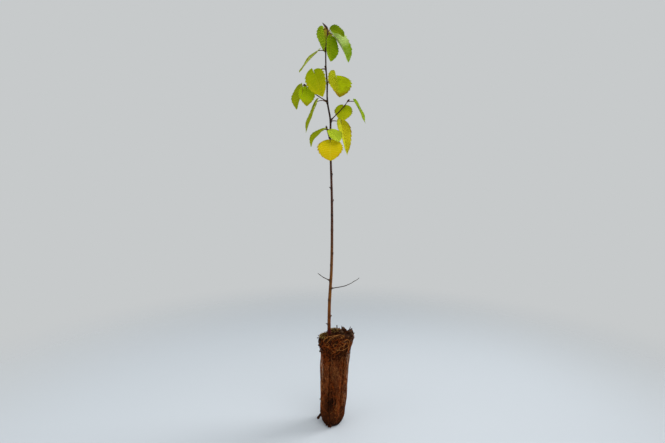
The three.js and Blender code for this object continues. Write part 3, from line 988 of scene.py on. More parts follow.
# Numbers of a leaf: turn, rise, droop, stalk, face, pitch, bend, roll, fold, length, width, taper, oblique
STEM_LEAVES = (
    StemLeaf("leaf_top_left", 564, Leaf(Tint.RUSSET, 112, 40, 14, 16, 290, -80, 6, -18, 10, 34, 30, 0.75)),
    StemLeaf("leaf_top_crest", 562, Leaf(Tint.DEEP, 312, 10, -10, 6, 4, -10, 34, 70, 28, 21, 15.5)),
    StemLeaf("leaf_top_right", 558.5, Leaf(Tint.PALE, 8, 20, -24, 7, 356, -50, 22, 44, 38, 45, 29)),
    StemLeaf("leaf_top_front", 553, Leaf(Tint.GREEN, 312, 14, -68, 10, 264, -80, 6, -42, 24, 33, 23, 0.7)),
    StemLeaf("leaf_high_left", 536, Leaf(Tint.OLIVE, 184, 10, -14, 10, 182, -42, 14, -20, 8, 40, 27)),
    StemLeaf("leaf_mid_left", 511, Leaf(
        Tint.FADING, 192, 2, -50, 18.5, 330, -66, 4, 82, 26, 37.5, 33, oblique=0.1)),
    StemLeaf("leaf_mid_right", 491, Leaf(
        Tint.SCORCHED, 330, 40, -6, 15, 300, -70, 8, 4, 22, 30.5, 38, 0.74, 0.22)),
    StemLeaf("leaf_low_left", 465, Leaf(Tint.OLIVE, 192, 24, -30, 15, 182, -66, 8, -16, 9, 46, 28)),
    StemLeaf("leaf_low_right", 439, Leaf(Tint.TURNING, 40, 16, -10, 18, 322, -74, 4, 0, 16, 50, 34, 1.3)),
    StemLeaf("leaf_yellow_front", 411, Leaf(Tint.GOLD, 270, 8, -40, 12, 270, -56, 16, 0, 8, 31.5, 35, 0.7)),
)

# Numbers of a shoot: height, turn, rise, end rise, length, radius at the foot and at the tip
SHOOTS = (
    Shoot("spray_left", 466, 156, 32, 44, 44, 0.8, 0.6, (
        (0.68, Leaf(Tint.SINGED, 232, 20, -10, 9, 272, -68, 10, 0, 12, 28.5, 24)),
        (0.97, Leaf(Tint.OLIVE, 205, -4, -24, 7.4, 214, -76, 6, -6, 16, 35, 27)),
    )),
    Shoot("spray_right", 440, 22, 44, 52, 38.5, 0.8, 0.55, (
        (0.72, Leaf(Tint.LIME, 96, 20, 0, 3.6, 262, -66, 14, -6, 10, 23, 26, 0.7)),
        (0.97, Leaf(Tint.DEEP, 350, 0, -6, 10.4, 2, -60, 8, 23, 8, 35, 24, 1.2)),
    )),
    Shoot("spray_low", 412, 236, 56, 66, 13, 0.75, 0.6, (
        (0.9, Leaf(Tint.OLIVE, 190, 4, -10, 4, 188, -24, 58, -20, 12, 32, 24)),
        (0.94, Leaf(Tint.FRESH, 318, -12, -30, 8, 318, -42, 18, 22, 12, 23, 22, 0.75)),
    )),
)
DEAD_TWIGS = (
    Shoot("dead_twig_left", 210, LEFT, 24, 38, 19, 0.65, 0.4),
    Shoot("dead_twig_right", 199, RIGHT, 4, 38, 44, 0.75, 0.35),
)


@dataclass(frozen=True)
class BladeRule:
    """Rule for the blade of a birch leaf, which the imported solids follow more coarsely."""

    fullness: float = 0.52  # How blunt the base is
    crowding: float = 1.4  # How much the rows crowd towards the base
    lobe: float = 0.12  # How far the lobes reach back past the stalk, as a share of the length
    lobe_fade: float = 4.0  # How fast the lobes end along the blade
    ripple: float = 0.9  # Height of the waves along the margin
    ripple_rate: float = 9.0  # Waves along the blade, in radians
    ripple_width: float = 4.0  # Half width under which the waves are lower
    teeth: int = 9  # Large teeth on each side
    notches: int = 3  # Small teeth on each large one
    tooth_depth: float = 0.11  # Depth of a large tooth as a share of the half width
    notch_depth: float = 0.05  # Depth of a small tooth
    samples: int = 5  # Rows for each small tooth
    columns: int = 33  # Points across the blade
    thickness: float = 0.3
    narrowest: float = 0.5  # Half width at the base
    point: float = 0.12  # Half width at the tip
    veins: int = 7  # Pairs of side veins
    vein_sweep: float = 0.2  # How far a side vein climbs to the margin, as a share of the length
    vein_width: float = 0.11  # Half width of a vein as a share of the distance between veins
    quilting: float = 0.22  # Height of the swellings between veins
    swelling: float = 0.35  # Share of that height by which the face between veins stands above the flat
    rib_groove: float = 0.2  # Depth of the groove over the midrib
    crease: float = 0.045  # Half width of the rounded fold along the midrib, as a share of the half width

    @property
    def trough(self) -> float:
        """How far the upper face dips below the blade's middle where a side vein leaves the midrib."""
        return (1 - self.swelling) * self.quilting + self.rib_groove - self.thickness / 2

    def midrib(self, base: Array, leaf: Leaf, along: Array) -> Array:
        """Points of the midrib, which heads from the pitch to the pitch less the bend.

        Args:
            base: Where the blade meets its stalk.
            leaf: The leaf.
            along: Shares of the blade's length.

        Returns:
            One point for each share: the base plus the sum of the headings up to there.
        """
        middles = (np.arange(CURVE_SAMPLES) + 0.5) / CURVE_SAMPLES
        headings = direction(leaf.face, leaf.pitch - leaf.bend * middles) * leaf.length / CURVE_SAMPLES
        walked = np.vstack([np.zeros(3), np.cumsum(headings, axis=0)])
        ends = np.linspace(0, 1, CURVE_SAMPLES + 1)
        return base + np.stack([np.interp(along, ends, walked[:, axis]) for axis in range(3)], -1)

    def bearings(self, leaf: Leaf, along: Array) -> tuple[Array, Array, Array]:
        """Heading, right and upper directions of the blade at shares of its length.

        Args:
            leaf: The leaf.
            along: Shares of the blade's length.

        Returns:
            Three unit vectors for each share, square to each other.
        """
        heading = direction(leaf.face, leaf.pitch - leaf.bend * along)
        level = np.broadcast_to(direction(leaf.face - 90, 0), heading.shape)
        roll = np.radians(leaf.roll)
        right = level * np.cos(roll) + np.cross(heading, level) * np.sin(roll)
        return heading, right, np.cross(right, heading)

    def surface(self, base: Array, leaf: Leaf, phase: float, layers: tuple[int, int]) -> Surface:
        """Closed blade on a grid of along and across.

        A point is the midrib at its share of the length, moved across by the half width, which is the egg
        outline with forward saw teeth that fade inwards, and lifted by the fold, by waves that grow towards
        the margin and by quilting between the veins. The underside is the same grid moved down by the
        thickness and the veins' ridges.

        Args:
            base: Where the blade meets its stalk.
            leaf: The leaf.
            phase: Start of the waves along the margin, in radians.
            layers: Finish numbers of the upper face and the underside.

        Returns:
            The surface, with the values "along", "left", "rim", "tip" and "vein".
        """
        first_tooth, last_tooth, tooth_fade = (0.06, 0.2), (0.9, 1), 6
        vein_curve, first_vein, last_vein, vein_fade = 1.15, 0.03, 0.8, 0.5
        rib_width, under_relief, tip_rate, halving = 0.6, 0.7, 6, 0.15
        margin, tip_curve, tip_span = (0.8, 1.0), 0.12, (0.72, 0.95)
        rows = self.teeth * self.notches * self.samples
        row = np.linspace(0, 1, rows + 1)[:, None]
        along = row**self.crowding
        across = np.linspace(-1, 1, self.columns)[None]
        edge = np.abs(across)
        fold = np.radians(leaf.fold)

        least = self.narrowest + (self.point - self.narrowest) * along
        smooth = np.maximum(leaf.width / 2 * egg_share(along, self.fullness, leaf.taper), least)
        large = (row * self.teeth) % 1 - 0.5
        small = (row * self.teeth * self.notches) % 1 - 0.5
        fade = smoothstep(along, *first_tooth) * (1 - smoothstep(along, *last_tooth))
        tooth = fade * (self.tooth_depth * large + self.notch_depth * small) * edge**tooth_fade
        half = smooth * (1 + tooth)

        climbed = self.vein_sweep * edge**vein_curve * smooth / smooth.max()
        rank = (along - climbed - first_vein) / last_vein * self.veins
        beside = np.abs(rank - np.round(np.clip(rank, 0, self.veins)))
        vein = np.exp(-((beside / self.vein_width) ** 2)) * (1 - vein_fade * edge**3)
        rib = np.exp(-((across * smooth / rib_width) ** 2))
        waves = np.sin(phase + self.ripple_rate * along + across)
        flatness = np.minimum(1, smooth / self.ripple_width)
        ripple = self.ripple * across**2 * waves * flatness
        lift = half * (np.hypot(across, self.crease) - self.crease) * np.sin(fold) + ripple
        quilt = flatness * (self.quilting * (self.swelling - vein) - self.rib_groove * rib)
        ridge = self.quilting * under_relief * flatness * vein

        heading, right, upper = self.bearings(leaf, along[:, 0])
        lobe = self.lobe + leaf.oblique * (across > 0)
        back = lobe * leaf.length * across**2 * (1 - along) ** self.lobe_fade
        middle = self.midrib(base, leaf, along[:, 0])[:, None]
        sheet = middle - heading[:, None] * back[..., None]
        sheet = sheet + right[:, None] * (half * across * np.cos(fold))[..., None]
        top = sheet + upper[:, None] * (lift + quilt + self.thickness / 2)[..., None]
        lowered = lift + np.minimum(quilt, 0) - ridge - self.thickness / 2
        under = sheet + upper[:, None] * lowered[..., None]

        quads = grid_quads(rows + 1, self.columns, closed=False)
        numbers = np.arange(edge.size * (rows + 1)).reshape(rows + 1, self.columns)
        edges = [numbers[0, :-1], numbers[:-1, -1], numbers[-1, :0:-1], numbers[:0:-1, 0]]
        border = np.concatenate(edges)
        following = np.roll(border, -1)
        below = numbers.size
        wall = np.stack([following, border, border + below, following + below], 1)
        near_tip = 1 - (1 - along) * tip_rate
        values = {
            "along": along + 0 * across,
            "left": smoothstep(-across, -halving, halving) + 0 * along,
            "rim": smoothstep(np.maximum(edge, near_tip), *margin),
            "tip": smoothstep(along + tip_curve * edge, *tip_span),
            "vein": np.maximum(vein * flatness, rib),
        }
        kinds = np.repeat([layers[0], layers[1], layers[1]], [len(quads), len(quads), len(wall)])
        return Surface(
            np.concatenate([top.reshape(-1, 3), under.reshape(-1, 3)]),
            np.concatenate([quads, quads[:, ::-1] + below, wall]),
            values={label: np.tile(value.ravel(), 2) for label, value in values.items()},
            layers=kinds,
        )


@dataclass(frozen=True)
class Crown:
    """Leaves, stalks and side shoots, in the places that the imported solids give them."""

    stem: Stem
    rule: BladeRule = BladeRule()
    stalk_radius: float = 0.6  # Radius of a stalk
    node_radius: float = 1.05  # Radius of a stalk's swollen foot
    rib_radius: float = 0.42  # Radius of the midrib at the blade's base
    rib_tip: float = 0.12  # Radius of the midrib near the tip
    rib_sink: float = 0.05  # How far below the dips of the upper face the midrib lies
    lead: float = 1.4  # How far a stalk's foot reaches into the bark
    ripple_step: float = 2.0  # Start of the waves from one leaf of a shoot to the next

    def knots(self) -> list[Knot]:
        """Places on the stem where leaves, shoots and twigs grow."""
        leaf_drop, leaf_swell, shoot_drop, shoot_swell = 0.8, 0.5, 0.5, 0.55
        leaves = [Knot(place.height - leaf_drop, place.leaf.turn, leaf_swell) for place in STEM_LEAVES]
        limbs = [Knot(shoot.height - shoot_drop, shoot.turn, shoot_swell) for shoot in SHOOTS]
        return leaves + limbs + [Knot(twig.height, twig.turn) for twig in DEAD_TWIGS]

    def stalk_path(self, start: Array, leaf: Leaf) -> Array:
        """Middle line of a leaf's stalk: its foot inside the bark and then its arc."""
        foot = start - direction(leaf.turn, leaf.rise) * self.lead
        shares = np.linspace(0, 1, len(self.stalk_radii()) - 1)
        return np.vstack([foot, leaf.stalk_points(start, shares)])

    def stalk_radii(self) -> Array:
        """Radii along a stalk's middle line: a swollen foot and an even stalk."""
        foot_steps, rest_steps, taper = 8, 11, 0.85
        swell = self.node_radius - self.stalk_radius
        foot = self.stalk_radius + swell * np.linspace(1, 0, foot_steps) ** 2
        rest = np.linspace(self.stalk_radius, self.stalk_radius * taper, rest_steps)
        return np.concatenate([foot, rest])

    def rib_radii(self) -> Array:
        """Radii along a midrib, which thins out evenly."""
        return np.linspace(self.rib_radius, self.rib_tip, num=24)

    def rib_path(self, start: Array, leaf: Leaf) -> Array:
        """Middle line of the midrib: from the stalk's end, then low enough to show on the underside alone.

        Args:
            start: Where the stalk starts.
            leaf: The leaf.

        Returns:
            One point for each of the midrib's radii.
        """
        reach, entry = 0.94, 0.06
        base = leaf.stalk_points(start, np.array([1.0]))[0]
        radii = self.rib_radii()
        along = np.linspace(0, reach, len(radii))
        upper = self.rule.bearings(leaf, along)[2]
        depth = (self.rule.trough + self.rib_sink + radii) * smoothstep(along, 0, entry)
        return self.rule.midrib(base, leaf, along) - upper * depth[:, None]

    def build(self) -> None:
        """Builds the blades, node by node, then all stalks, midribs and shoots."""
        grown = []
        for number, place in enumerate(STEM_LEAVES):
            start = self.stem.seat(Knot(place.height, place.leaf.turn), place.leaf.rise, self.stalk_radius)
            grown.append((start, place.leaf))
            self.build_blades(place.node, grown[-1:], number)
        for number, shoot in enumerate(SHOOTS):
            starts = shoot.points(self.stem, np.array([at for at, _ in shoot.leaves]))
            placed = [(start, leaf) for start, (_, leaf) in zip(starts, shoot.leaves)]
            grown.extend(placed)
            self.build_blades(shoot.node, placed, number)
        stalks = np.array([self.stalk_path(start, leaf) for start, leaf in grown])
        ribs = np.array([self.rib_path(start, leaf) for start, leaf in grown])
        skin = strands(stalks, np.broadcast_to(self.stalk_radii(), stalks.shape[:2]), sides=10)
        midribs = strands(ribs, np.broadcast_to(self.rib_radii(), ribs.shape[:2]), sides=8)
        add_piece("leaf_stalks", skin, [STALK_SKIN])
        add_piece("leaf_midribs", midribs, [MIDRIB])
        self.build_shoots()

    def build_blades(self, node: str, placed: list[tuple[Array, Leaf]], phase: float) -> None:
        """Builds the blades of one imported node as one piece.

        Args:
            node: The node.
            placed: Start of the stalk and leaf, for each of its leaves.
            phase: Start of the first leaf's waves.
        """
        tints = list(dict.fromkeys(leaf.tint for _, leaf in placed))
        surfaces = []
        for number, (start, leaf) in enumerate(placed):
            base = leaf.stalk_points(start, np.array([1.0]))[0]
            layers = tints.index(leaf.tint), len(tints) + tints.index(leaf.tint)
            surfaces.append(self.rule.surface(base, leaf, phase + self.ripple_step * number, layers))
        finishes = [tint.value for tint in tints] + [underside(tint.value) for tint in tints]
        add_piece(f"{node}_blades", Surface.joined(surfaces), finishes, (node,))

    def build_shoots(self) -> None:
        """Builds the side shoots, their end buds and the dead twigs."""
        bud_place, bud_size, crooked, dead_crooked = 0.96, (5.0, 1.5), 0.15, 0.35
        tips = np.array([shoot.points(self.stem, np.array([bud_place]))[0] for shoot in SHOOTS])
        ways = np.array([direction(shoot.turn, shoot.end_rise) for shoot in SHOOTS])
        sizes = np.tile(bud_size, (len(SHOOTS), 1))
        add_piece("shoot_buds", buds(tips, ways, sizes), [BUD_SCALES])
        shafts = Surface.joined([self.limb(shoot, crooked) for shoot in SHOOTS])
        add_piece("shoots", shafts, [SHOOT_BARK])
        for twig in DEAD_TWIGS:
            bark = self.limb(twig, dead_crooked)
            add_piece(f"{twig.node}_bark", bark, [DEAD_BARK], (twig.node,))

    def limb(self, shoot: Shoot, crooked: float) -> Surface:
        """Bark of a shoot or twig.

        The middle line is the shoot's arc, set aside by seeded noise that fades at the foot. The radius
        tapers evenly, with a swollen foot and a bell curve at each leaf, or at each scar of a bare twig.

        Args:
            shoot: The shoot.
            crooked: How far the noise sets the line aside.

        Returns:
            The surface, with the value "knot" where the bark darkens.
        """
        steps, sides, shade, scars = 60, 12, 0.7, (0.45, 0.8)
        bend, cells, lines, straight = 5, 64, (0.0, 9.0, 21.0), 0.2
        bell, bell_swell, foot, foot_swell = 1.4, 0.3, 1.5, 0.6
        shares = np.linspace(0, 1, steps)
        path = shoot.points(self.stem, shares)
        path = np.vstack([path[0] - direction(shoot.turn, shoot.rise) * self.lead, path])
        share = np.concatenate([[0], shares])
        seed = round(shoot.height)
        aside = [value_noise(share * shoot.length / bend, line, cells, seed) for line in lines]
        path = path + crooked * np.stack(aside, -1) * smoothstep(share, 0, straight)[:, None]
        places = np.array([at for at, _ in shoot.leaves] or scars)
        bells = np.exp(-(((share[:, None] - places) * shoot.length / bell) ** 2)).sum(-1)
        radius = shoot.radius + (shoot.tip - shoot.radius) * share
        radius = radius + bell_swell * bells * shoot.tip
        radius = radius + foot_swell * np.exp(-((share * shoot.length / foot) ** 2))
        surface = strands(path[None], radius[None], sides)
        bands = np.repeat(np.clip(bells, 0, 1) * shade, sides)
        surface.values["knot"] = np.concatenate([bands, bands[:1], bands[-1:]])
        return surface


# Root plug


@dataclass(frozen=True)
class RootPlug:
    """Fluted plug of peat and roots that keeps the shape of its tray cell."""

    height: float = 130.0  # Height of its crown
    # Radius and height along its outline, from the underside's edge to inside the rim
    profile: tuple[Span, ...] = (
        (12.5, 0), (15.9, 5.2), (18, 13), (21.8, 108), (25.5, 122.7), (25.5, 128), (23.5, 130), (15, 130),
    )
    lean: float = 6.2  # How far the crown stands to the right of the underside
    flat: float = 15.0  # Radius of the level middle of the crown, where the stem stands
    rim_tilt: float = 3.2  # How much higher the rim is on its high side
    rim_turn: float = 5.0  # Turn of the high side
    foot_height: float = 13.0  # Height under which the wall is smooth
    flutes: int = 6  # Number of upright grooves
    flute_turn: float = 247.0  # Turn of one of them
    flute_depth: float = 1.6  # Depth of a groove
    flute_sharpness: float = 9.0  # How narrow the grooves are
    # Swell, lobes round the plug, height for one radian and phase of each wave of the wall
    lumps: tuple[Quad, ...] = ((0.45, 3, 17, 0), (0.27, 7, -9, 1), (0.18, 11, 5, 2))
    inset: float = 0.9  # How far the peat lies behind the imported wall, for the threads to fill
    # The slots are darkened with painted shade as well as sunk.
    slot_depth: float = 2.6  # Depth of the dark slot along the bottom of each groove
    slot_sharpness: float = 90.0  # How narrow the slots are
    slot_foot: Span = (22, 40)  # Heights between which the slots set in
    slot_top: Span = (106, 118)  # Heights between which they end
    # Noise of the wall
    fibres: Octaves = (Octave(0.3, 96, 10, 21), Octave(0.4, 46, 5, 22), Octave(0.3, 150, 1.6, 23))
    pits: Octave = Octave(1, 64, 3.4, 28)  # Noise of its pits
    knots: Octaves = (Octave(1.2, 40, 3.6, 24), Octave(0.7, 80, 2, 25))  # Noise of the collar
    # Noise of the crown, from its middle outwards
    crumbling: Octaves = (Octave(1.3, 22, 3.1, 26), Octave(0.8, 54, 1.3, 27))
    fraying: Octaves = (Octave(0.7, 17, 6, 29), Octave(0.5, 41, 3, 30))  # Noise of the rim
    # Turn, height, half width and half height of each wet patch on the wall
    damp_patches: tuple[Quad, ...] = (
        (FRONT - 7, 38, 13, 8), (BACK - 15, 52, 11, 9), (LEFT - 30, 84, 9, 7), (RIGHT + 40, 30, 10, 8),
    )
    ragged: float = 4.0  # How far the rim rises and falls
    # Turn, width in degrees and depth of each place where the rim has broken away
    breaks: tuple[Triple, ...] = ((128, 26, 4.2), (82, 7, 2.6), (45, 7, 4.4), (215, 9, 2.0))
    # Distance to the right and to the back, width and depth of a hollow in the crown, darkened with painted
    # shade
    hollow: Quad = (3.0, -12.0, 8.0, 6.0)
    sides: int = 300  # Points round the plug
    step: float = 0.7  # Distance between its rings

    @property
    def rim(self) -> float:
        """Radius of the rim."""
        return max(radius for radius, _ in self.profile)

    def unevenness(self, turn: Array, height: Array) -> Array:
        """How far the wall stands out: the waves less the grooves, from nothing at the underside."""
        waves = sum(
            swell * np.sin(lobes * turn + height / rate + phase) for swell, lobes, rate, phase in self.lumps
        )
        groove = self.flute_depth * self.in_groove(turn) ** self.flute_sharpness
        return smoothstep(height, 0, self.foot_height) * (waves - groove)

    def in_groove(self, turn: Array) -> Array:
        """How near a turn is to a groove: a cosine, 1 in the grooves and 0 between them."""
        return 0.5 + 0.5 * np.cos(self.flutes * (turn - np.radians(self.flute_turn)))

    def in_slot(self, turn: Array, height: Array) -> Array:
        """How near a point is to the slot of a groove, which fades out at the foot and under the collar."""
        fade = smoothstep(height, *self.slot_foot) * (1 - smoothstep(height, *self.slot_top))
        return fade * self.in_groove(turn) ** self.slot_sharpness

    def placed(self, turn: Array, radius: Array, height: Array) -> Array:
        """Points at a turn, radius and height, once the rim is tilted and broken by noise and the plug leans.

        Args:
            turn: Turn in radians.
            radius: Distance from the plug's own axis.
            height: Height before the tilt.

        Returns:
            The points.
        """
        band, lip, sag = 9, 3, -0.35
        high = smoothstep(height, self.height / 2, self.height) * smoothstep(radius, self.flat, self.rim)
        tilt = self.rim_tilt * high * np.cos(turn - np.radians(self.rim_turn))
        outer = smoothstep(radius, self.flat, self.rim - lip)
        edge = smoothstep(height, self.height - band, self.height) * outer
        broken = layered(self.fraying, turn, radius, sag)
        lost = sum(depth * np.exp(-((apart(turn, side) / width) ** 2)) for side, width, depth in self.breaks)
        raised = height + tilt + edge * (self.ragged * broken - lost)
        shift = self.lean * height / self.height
        return np.stack([radius * np.cos(turn) + shift, radius * np.sin(turn), raised], -1)

    def on_wall(self, turn: Array, height: Array, out: Array | float) -> Array:
        """Points on the wall, moved out of it by a distance."""
        walls = self.profile[:-2]
        radius = np.interp(height, [z for _, z in walls], [r for r, _ in walls])
        return self.placed(turn, radius + self.unevenness(turn, height) + out, height)

    def on_crown(self, turn: Array, reach: Array, up: Array | float) -> Array:
        """Points on the crown at a reach from its middle, moved up by a distance."""
        points = self.placed(turn, reach, np.full(np.shape(turn), self.height))
        points[..., 2] += up
        return points

    def body(self) -> Surface:
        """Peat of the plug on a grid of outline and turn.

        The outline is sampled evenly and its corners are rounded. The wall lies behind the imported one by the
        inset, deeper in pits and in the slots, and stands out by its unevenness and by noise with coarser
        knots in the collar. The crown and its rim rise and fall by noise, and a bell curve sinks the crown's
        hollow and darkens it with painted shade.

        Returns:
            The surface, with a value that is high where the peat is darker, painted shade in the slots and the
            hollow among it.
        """
        core, foot, brow, lip, hollow_band, darkest = 0.3, 0.5, 1, 4, 6, 0.95
        pitted, collar, sinking, settled = (0.2, 0.8), (108, 118), (10, 45), (1, 9)
        corners = np.array([(core, 0), *self.profile, (core, self.height)])
        length = np.linalg.norm(np.diff(corners, axis=0), axis=1).sum()
        shares = np.linspace(0, 1, round(length / self.step))
        outline = along_path(np.insert(corners, 2, 0, axis=1), shares)
        weights = np.array([1, 2, 3, 2, 1])
        rounding = weights / weights.sum()
        beyond = len(weights) // 2
        padded = np.pad(outline[:, :2], ((beyond, beyond), (0, 0)), mode="edge")
        radius, height = (np.convolve(padded[:, axis], rounding, mode="valid")[:, None] for axis in (0, 1))
        turn = FULL_TURN * np.arange(self.sides)[None] / self.sides
        level = height + 0 * turn

        wall = smoothstep(height, foot, self.foot_height)
        inner = 1 - smoothstep(radius, self.rim - lip, self.rim)
        crown = smoothstep(height, self.height - brow, self.height) * inner
        rough = layered(self.fibres, turn, height)
        knotted = smoothstep(height, *collar) * layered(self.knots, turn, height)
        sunk = self.inset * smoothstep(height, *sinking) + smoothstep(self.pits.at(turn, height), *pitted)
        sunk = sunk + self.slot_depth * self.in_slot(turn, height)
        grown = radius + (1 - crown) * (self.unevenness(turn, height) + wall * (rough + knotted - sunk))
        rise = crown * smoothstep(radius, *settled) * layered(self.crumbling, turn, radius)
        right, back, width, depth = self.hollow
        across = np.hypot(radius * np.cos(turn) - right, radius * np.sin(turn) - back) / width
        pit = np.exp(-(across**2)) * smoothstep(height, self.height - hollow_band, self.height)
        points = self.placed(turn, grown, level)
        points[..., 2] += rise - depth * pit
        # The hollow's bell curve darkens the peat there too: painted shade in the hollow.
        damp_and_shade = np.clip(self.damp_and_shade_level(turn, level) + pit, 0, darkest)
        return ringed(points[None], {"damp_and_shade": damp_and_shade[None]})

    def damp_and_shade_level(self, turn: Array, height: Array) -> Array:
        """How dark the peat is: darker low down and in the collar, painted shade along the slots, and wet in
        bell curves on the wall.

        Args:
            turn: Turn in radians.
            height: Height of the point.

        Returns:
            The darkening, from 0 to less than 1.
        """
        foot_darkening, foot_top, collar_damp, patch_damp, deepest_darkening = 0.75, 20, 0.6, 1.3, 0.9
        collar_low, collar_high = self.height - 32, self.height - 20
        # Darker towards the bottom.
        damp_and_shade = foot_darkening * (1 - smoothstep(height, 0, foot_top))
        damp_and_shade = damp_and_shade + collar_damp * smoothstep(height, collar_low, collar_high)
        # Painted shade along the slots at the bottom of the grooves.
        damp_and_shade = damp_and_shade + self.in_slot(turn, height)
        for side, middle, breadth, tall in self.damp_patches:
            around = np.radians(apart(turn, side)) * self.rim
            damp_and_shade = damp_and_shade + patch_damp * np.exp(-((around / breadth) ** 2) - ((height - middle) / tall) ** 2)
        return np.clip(damp_and_shade, 0, deepest_darkening)

    def build(self) -> None:
        """Builds the peat of the plug."""
        add_piece("plug_peat", self.body(), [PEAT], ("root_plug",))


@dataclass(frozen=True)
class ThreadFamily:
    """Root threads of one habit that lie on the plug's wall.

    Length and radius are the least and the most. A thread heads away from straight down, to either side,
    by the heading and its spread, swings about that by its curl in a number of waves, and stands proud of
    the wall in its middle. Threads lie in patches or over a span of heights, and shy away from darker peat,
    the painted shade of the slots among it.
    """

    name: str
    finish: Finish
    count: int
    length: Span
    radius: Span
    heading: float
    spread: float
    curl: float
    waves: Span
    proud: float
    seed: int
    span: Span = (0, 0)
    patches: tuple[Quad, ...] = ()
    shy: float = 0.9
    steps: int = 17


@dataclass(frozen=True)
class ThreadSet:
    """Threads about the crown that share a way of lying: name of the piece, finish, number and seed."""

    name: str
    finish: Finish
    count: int
    seed: int


# Turn, height, scatter in degrees and scatter in height of each place where threads crowd
ORANGE_PATCHES = (
    (255, 68, 16, 12), (292, 36, 12, 10), (300, 80, 10, 20), (230, 100, 18, 9),
    (20, 60, 25, 25), (75, 85, 25, 20), (130, 40, 25, 18), (165, 90, 20, 20),
    (200, 30, 20, 14),
)
GOLD_PATCHES = (
    (275, 86, 11, 9), (262, 116, 18, 5), (303, 108, 10, 7), (285, 30, 12, 9),
    (45, 96, 20, 14), (100, 60, 18, 14), (150, 108, 16, 8), (212, 62, 12, 18),
)
TAN_PATCHES = (
    (262, 92, 12, 9), (286, 76, 12, 12), (240, 74, 12, 14), (312, 84, 12, 14),
    (300, 40, 12, 14), (40, 80, 24, 18), (95, 84, 24, 16), (150, 70, 24, 18),
    (350, 50, 16, 20), (215, 60, 14, 16),
)
# Grey threads: the patches at turns 206 and 330 to 334, on the plug's left and right edges as seen from the
# front, are painted rim light; the others are pale roots.
GREY_AND_RIM_LIGHT_PATCHES = (
    (206, 84, 7, 13), (332, 92, 6, 16), (334, 62, 6, 16), (330, 112, 6, 8),
    (60, 40, 14, 16), (120, 95, 12, 14),
)

# Numbers of a family: count, length, radius, heading, spread, curl, waves, proud, seed and span of heights
FAMILIES = (
    ThreadFamily(
        "root_runners", ROOT_BROWN, 110, (40, 90), (0.28, 0.56), 0, 7, 14, (1, 4), 0.2, 31, (40, 72), steps=22
    ),
    ThreadFamily(
        "root_threads_dark", ROOT_DARK, 520, (14, 48), (0.165, 0.33), 10, 26, 38, (1, 4), 0.4, 32, (8, 128),
        shy=0.4,
    ),
    ThreadFamily(
        "root_threads_brown", ROOT_BROWN, 640, (10, 40), (0.12, 0.24), 14, 34, 46, (1, 4), 0.6, 33, (8, 104)
    ),
    ThreadFamily(
        "root_threads_tan", ROOT_TAN, 760, (4, 16), (0.095, 0.17), 8, 24, 40, (1, 3), 0.9, 37,
        patches=TAN_PATCHES,
    ),
    ThreadFamily(
        "root_threads_orange", ROOT_ORANGE, 760, (5, 22), (0.1, 0.185), 20, 42, 60, (1, 3), 0.7, 34,
        patches=ORANGE_PATCHES,
    ),
    ThreadFamily(
        "root_threads_gold", ROOT_GOLD, 420, (3, 12), (0.088, 0.154), 40, 50, 80, (1, 3), 0.8, 35,
        patches=GOLD_PATCHES,
    ),
    ThreadFamily(
        "root_threads_grey", ROOT_GREY, 240, (8, 34), (0.13, 0.24), 0, 10, 22, (1, 3), 0.4, 36,
        patches=GREY_AND_RIM_LIGHT_PATCHES,
    ),
)
CROWN_THREADS = (
    ThreadSet("crown_threads_dark", ROOT_DARK, 70, 41), ThreadSet("crown_threads_gold", ROOT_GOLD, 26, 42),
)
RIM_THREADS = (
    ThreadSet("rim_threads_dark", ROOT_DARK, 150, 44), ThreadSet("rim_threads_orange", ROOT_ORANGE, 34, 45),
)
SWAGS = (
    ThreadSet("swags_dark", ROOT_DARK, 90, 48), ThreadSet("swags_orange", ROOT_ORANGE, 40, 46),
    ThreadSet("swags_gold", ROOT_GOLD, 14, 47),
)
THREAD_SIDES = 3

# Points that each arching root passes through, from the middle of the crown
ARCHES = (
    ((-16, -21, -6), (-9, -18, 1), (0, -13, 4.5), (6, -12, 5), (12, -16, 2.5), (16, -21, -3), (17, -23, -12)),
    ((-12, -23, -9), (-8, -20, -1), (-1, -14, 3.5), (4, -13, 3.8), (9, -18, 1), (11, -23, -6),
     (9, -24.5, -13)),
    ((-19, -14, -4), (-14, -14, 1.5), (-7, -12, 3), (-1, -11, 3.5), (3, -15, 2), (6, -21, -2), (4, -25, -9)),
    ((10, -23, 0), (16, -20, 1), (19, -18, -3), (17, -21, -8), (11, -24.5, -11), (5, -25.5, -12),
     (-1, -25.5, -10)),
    ((14, 18, -6), (10, 15, 1), (4, 13, 4), (-4, 15, 3), (-10, 18, 0), (-13, 21, -6), (-12, 22.5, -12)),
)

# Turn, height, rise, length and radius of each broken root end
ROOT_ENDS = (
    (184, 15, -50, 13, 2.0), (186, 106, 10, 6.5, 1.3), (182, 116, 5, 6, 1.5), (176, 34, -20, 5, 0.9),
    (330, 70, -30, 4, 0.8), (70, 48, -40, 5, 0.9), (120, 92, -10, 4, 0.8), (20, 20, -60, 6, 0.9),
    (262, 9, -35, 5, 0.8), (252, 4, -12, 5.5, 1.7), (262, 3.5, -6, 6, 1.9), (241, 5, -18, 5, 1.4),
)


